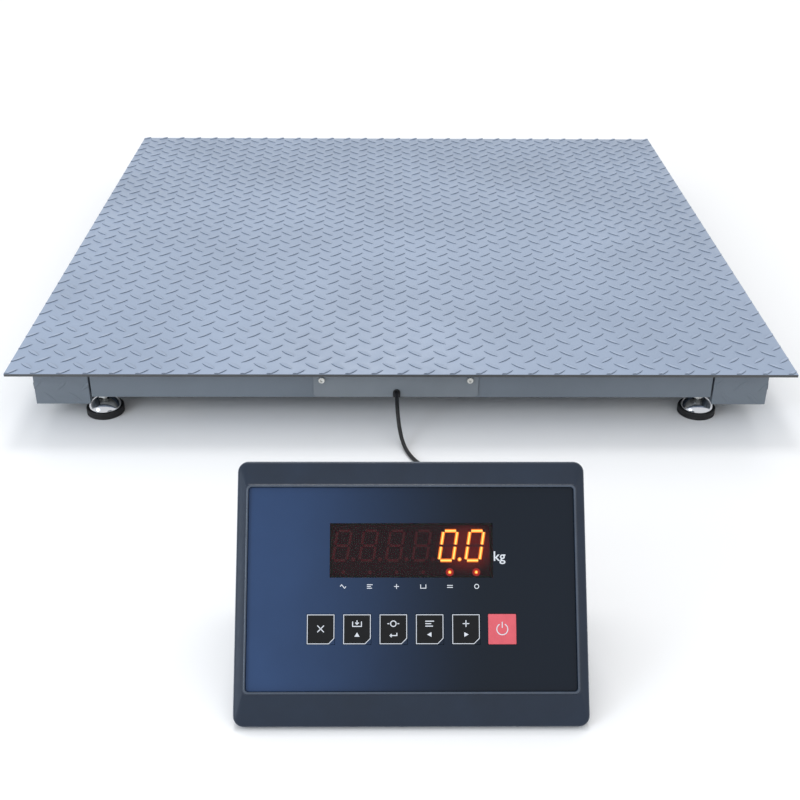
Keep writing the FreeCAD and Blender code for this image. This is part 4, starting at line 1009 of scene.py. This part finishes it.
DIGIT_HEIGHT = 27 * MM
DIGIT_WIDTH = 12.8 * MM
DIGIT_PITCH = 24.4 * MM
DIGIT_START = -72.1 * MM
DIGIT_BOTTOM = WINDOW_BOTTOM + 15.6 * MM
DIGIT_SLANT = math.tan(math.radians(9))
SEGMENT_WIDTH = 2.3 * MM
DIGIT_COUNT = 6
LIT_DIGITS = (DIGIT_COUNT - 2, DIGIT_COUNT - 1)
# The middle bar, which a lit nought has dark
MIDDLE_BAR = 1
# A lit segment's glow and its bright core, as shares of the segment's width, and how thick they are
LIT_WIDTH = 1.4
CORE_WIDTH = 0.6
SEGMENT_DEPTH = 0.25 * MM
CORE_DEPTH = 0.05 * MM
HALO_DEPTH = 0.1 * MM
# A decimal point's place from its digit's right edge and foot, and the lamp's from the digit and the window
DOT_ASIDE = 6 * MM
DOT_UP = 1 * MM
LAMP_ASIDE = 9.7 * MM
LAMP_UP = 4.9 * MM
# The radii of a round light and of its core
DOT_RADII = (1.9 * MM, 1.2 * MM)
LAMP_RADII = (1.7 * MM, 1 * MM)
HALO_RADIUS = 3.6 * MM


def segment_lines():
    """A digit's seven strokes, as end points in parts of its width and height: its bars, then its sides."""
    bars = [((0.1, level), (0.9, level)) for level in (0, 0.5, 1)]
    spans = ((0.04, 0.46), (0.54, 0.96))
    return bars + [((side, low), (side, high)) for side in (0, 1) for low, high in spans]


def make_digits():
    """Six seven-segment digits behind the red window: the last two lit as 0.0, the others dark."""
    low, high = MODULE_OUT, MODULE_OUT + SEGMENT_DEPTH
    lit, unlit, core, halo = (bmesh.new() for _ in range(4))
    for index in range(DIGIT_COUNT):
        left = DIGIT_START + index * DIGIT_PITCH
        for number, ends in enumerate(segment_lines()):
            points = []
            for x, y in ends:
                height = y * DIGIT_HEIGHT
                points.append((left + x * DIGIT_WIDTH + height * DIGIT_SLANT, DIGIT_BOTTOM + height))
            if index in LIT_DIGITS and number != MIDDLE_BAR:
                stroke(lit, points, SEGMENT_WIDTH * LIT_WIDTH, low, high)
                stroke(core, points, SEGMENT_WIDTH * CORE_WIDTH, high, high + CORE_DEPTH)
            else:
                stroke(unlit, points, SEGMENT_WIDTH, low, high)
        dot = (left + DIGIT_WIDTH + DOT_ASIDE, DIGIT_BOTTOM + DOT_UP)
        lamp = (left + LAMP_ASIDE, WINDOW_BOTTOM + LAMP_UP)
        lights = ((dot, DOT_RADII, index == LIT_DIGITS[0]), (lamp, LAMP_RADII, index in LIT_DIGITS))
        for place, (radius, core_radius), glows in lights:
            prism(lit if glows else unlit, circle(place, radius), low, high)
            if glows:
                prism(core, circle(place, core_radius), high, high + CORE_DEPTH)
        if index in LIT_DIGITS:
            prism(halo, circle(lamp, HALO_RADIUS, 24), low, low + HALO_DEPTH)
    for name, bm, material in (("digits_lit", lit, "segment_lit"), ("digits_unlit", unlit, "segment_unlit"),
                               ("digit_cores", core, "segment_core"), ("lamp_halos", halo, "segment_halo")):
        new_piece(name, bm, "display_black", material=material)


# The unit beside the window: its size, how much bolder than the font's it is, and its place on the face
UNIT_SIZE = 12.5 * MM
UNIT_BOLDER = 0.13 * MM
UNIT_PLACE = (74.9 * MM, 146.2 * MM)
# The mark under each of the window's lamps, in millimetres about its centre
LAMP_MARKS = (
    [[(-2.6, 0), (-1.3, 1.6), (0, 0), (1.3, -1.6), (2.6, 0)]],
    [[(-2.6, 1.6), (2.6, 1.6)], [(-2.6, 0), (1, 0)], [(-2.6, -1.6), (2.0, -1.6)]],
    [[(0, 2.2), (0, -2.2)], [(-2.2, 0), (2.2, 0)]],
    [[(-2.4, 1.8), (-2.4, -1.6), (2.4, -1.6), (2.4, 1.8)]],
    [[(-2.6, -0.9), (2.6, -0.9)], [(-2.6, 0.9), (2.6, 0.9)]],
    [arc((0, 0), 1.9, 0, 360, 16)],
)
MARK_UP = WINDOW_BOTTOM - 8 * MM
MARK_STROKE = 0.7 * MM


def make_panel_print():
    """The panel's white ink: the unit beside the window, and a small mark under each of its lamps."""
    curve = bpy.data.curves.new("unit_mark", "FONT")
    curve.body = "kg"
    curve.size = UNIT_SIZE
    curve.extrude = PRINT_THICKNESS
    curve.offset = UNIT_BOLDER
    unit = new_object("unit_mark", curve)
    unit.rotation_euler = (FACE_SLOPE, 0, 0)
    unit.location = on_face(*UNIT_PLACE, PANEL_OUT)
    curve.materials.append(MATERIALS["white_ink"])
    adopt(unit)

    bm = bmesh.new()
    for index, lines in enumerate(LAMP_MARKS):
        x = DIGIT_START + index * DIGIT_PITCH + LAMP_ASIDE
        for line in lines:
            stroke(bm, in_metres(line, x, MARK_UP), MARK_STROKE, PANEL_OUT, PANEL_OUT + PRINT_THICKNESS)
    new_piece("panel_print", bm, "overlay_film", material="white_ink")


# -------------------- the CAD's own nodes

EDGE_DEFAULT = 0.7 * MM
EDGE_RADIUS = {
    "access_cover": 0.9 * MM, "cable_grommet": 0.4 * MM, "cover_screws": 0.3 * MM,
    "indicator_screws": 0.2 * MM, "load_cell_bolts": 0.5 * MM, "rear_sockets": 0.5 * MM,
}
SHARP_NODES = ("front_overlay", "display_window", "display_module", "junction_board", "main_board",
               "load_cell_cables")
WELD_DISTANCE = 0.01 * MM
FLAT_ANGLE = math.radians(0.5)
ROUNDED_ANGLE = math.radians(40)


def soften(node):
    """Join a CAD mesh's faces and round its edges a little, without touching the mesh itself."""
    weld = node.modifiers.new("weld", "WELD")
    weld.merge_threshold = WELD_DISTANCE
    flatten = node.modifiers.new("flatten", "DECIMATE")
    flatten.decimate_type = "DISSOLVE"
    flatten.angle_limit = FLAT_ANGLE
    edge = node.modifiers.new("edges", "BEVEL")
    edge.width = EDGE_RADIUS.get(node.name, EDGE_DEFAULT)
    edge.segments = 2
    edge.limit_method = "ANGLE"
    edge.angle_limit = ROUNDED_ANGLE


def dress_nodes():
    """Give each CAD node its material, and all but the thin and tangled ones soft edges."""
    for name, node in frame["nodes"].items():
        material = MATERIALS["cover_paint" if name == "access_cover" else SLOT_OF_NODE[name]]
        for slot in node.material_slots:
            slot.material = material
        if name not in SHARP_NODES:
            soften(node)


# -------------------- scene

make_camera()
make_studio()
cable = make_cable()
ties = make_ties()
plug_shell, plug_boot = make_plug()
make_deck()
make_corner_treads()
make_feet()
make_bezel()
make_rear_case()
make_keys()
make_digits()
make_panel_print()
dress_nodes()
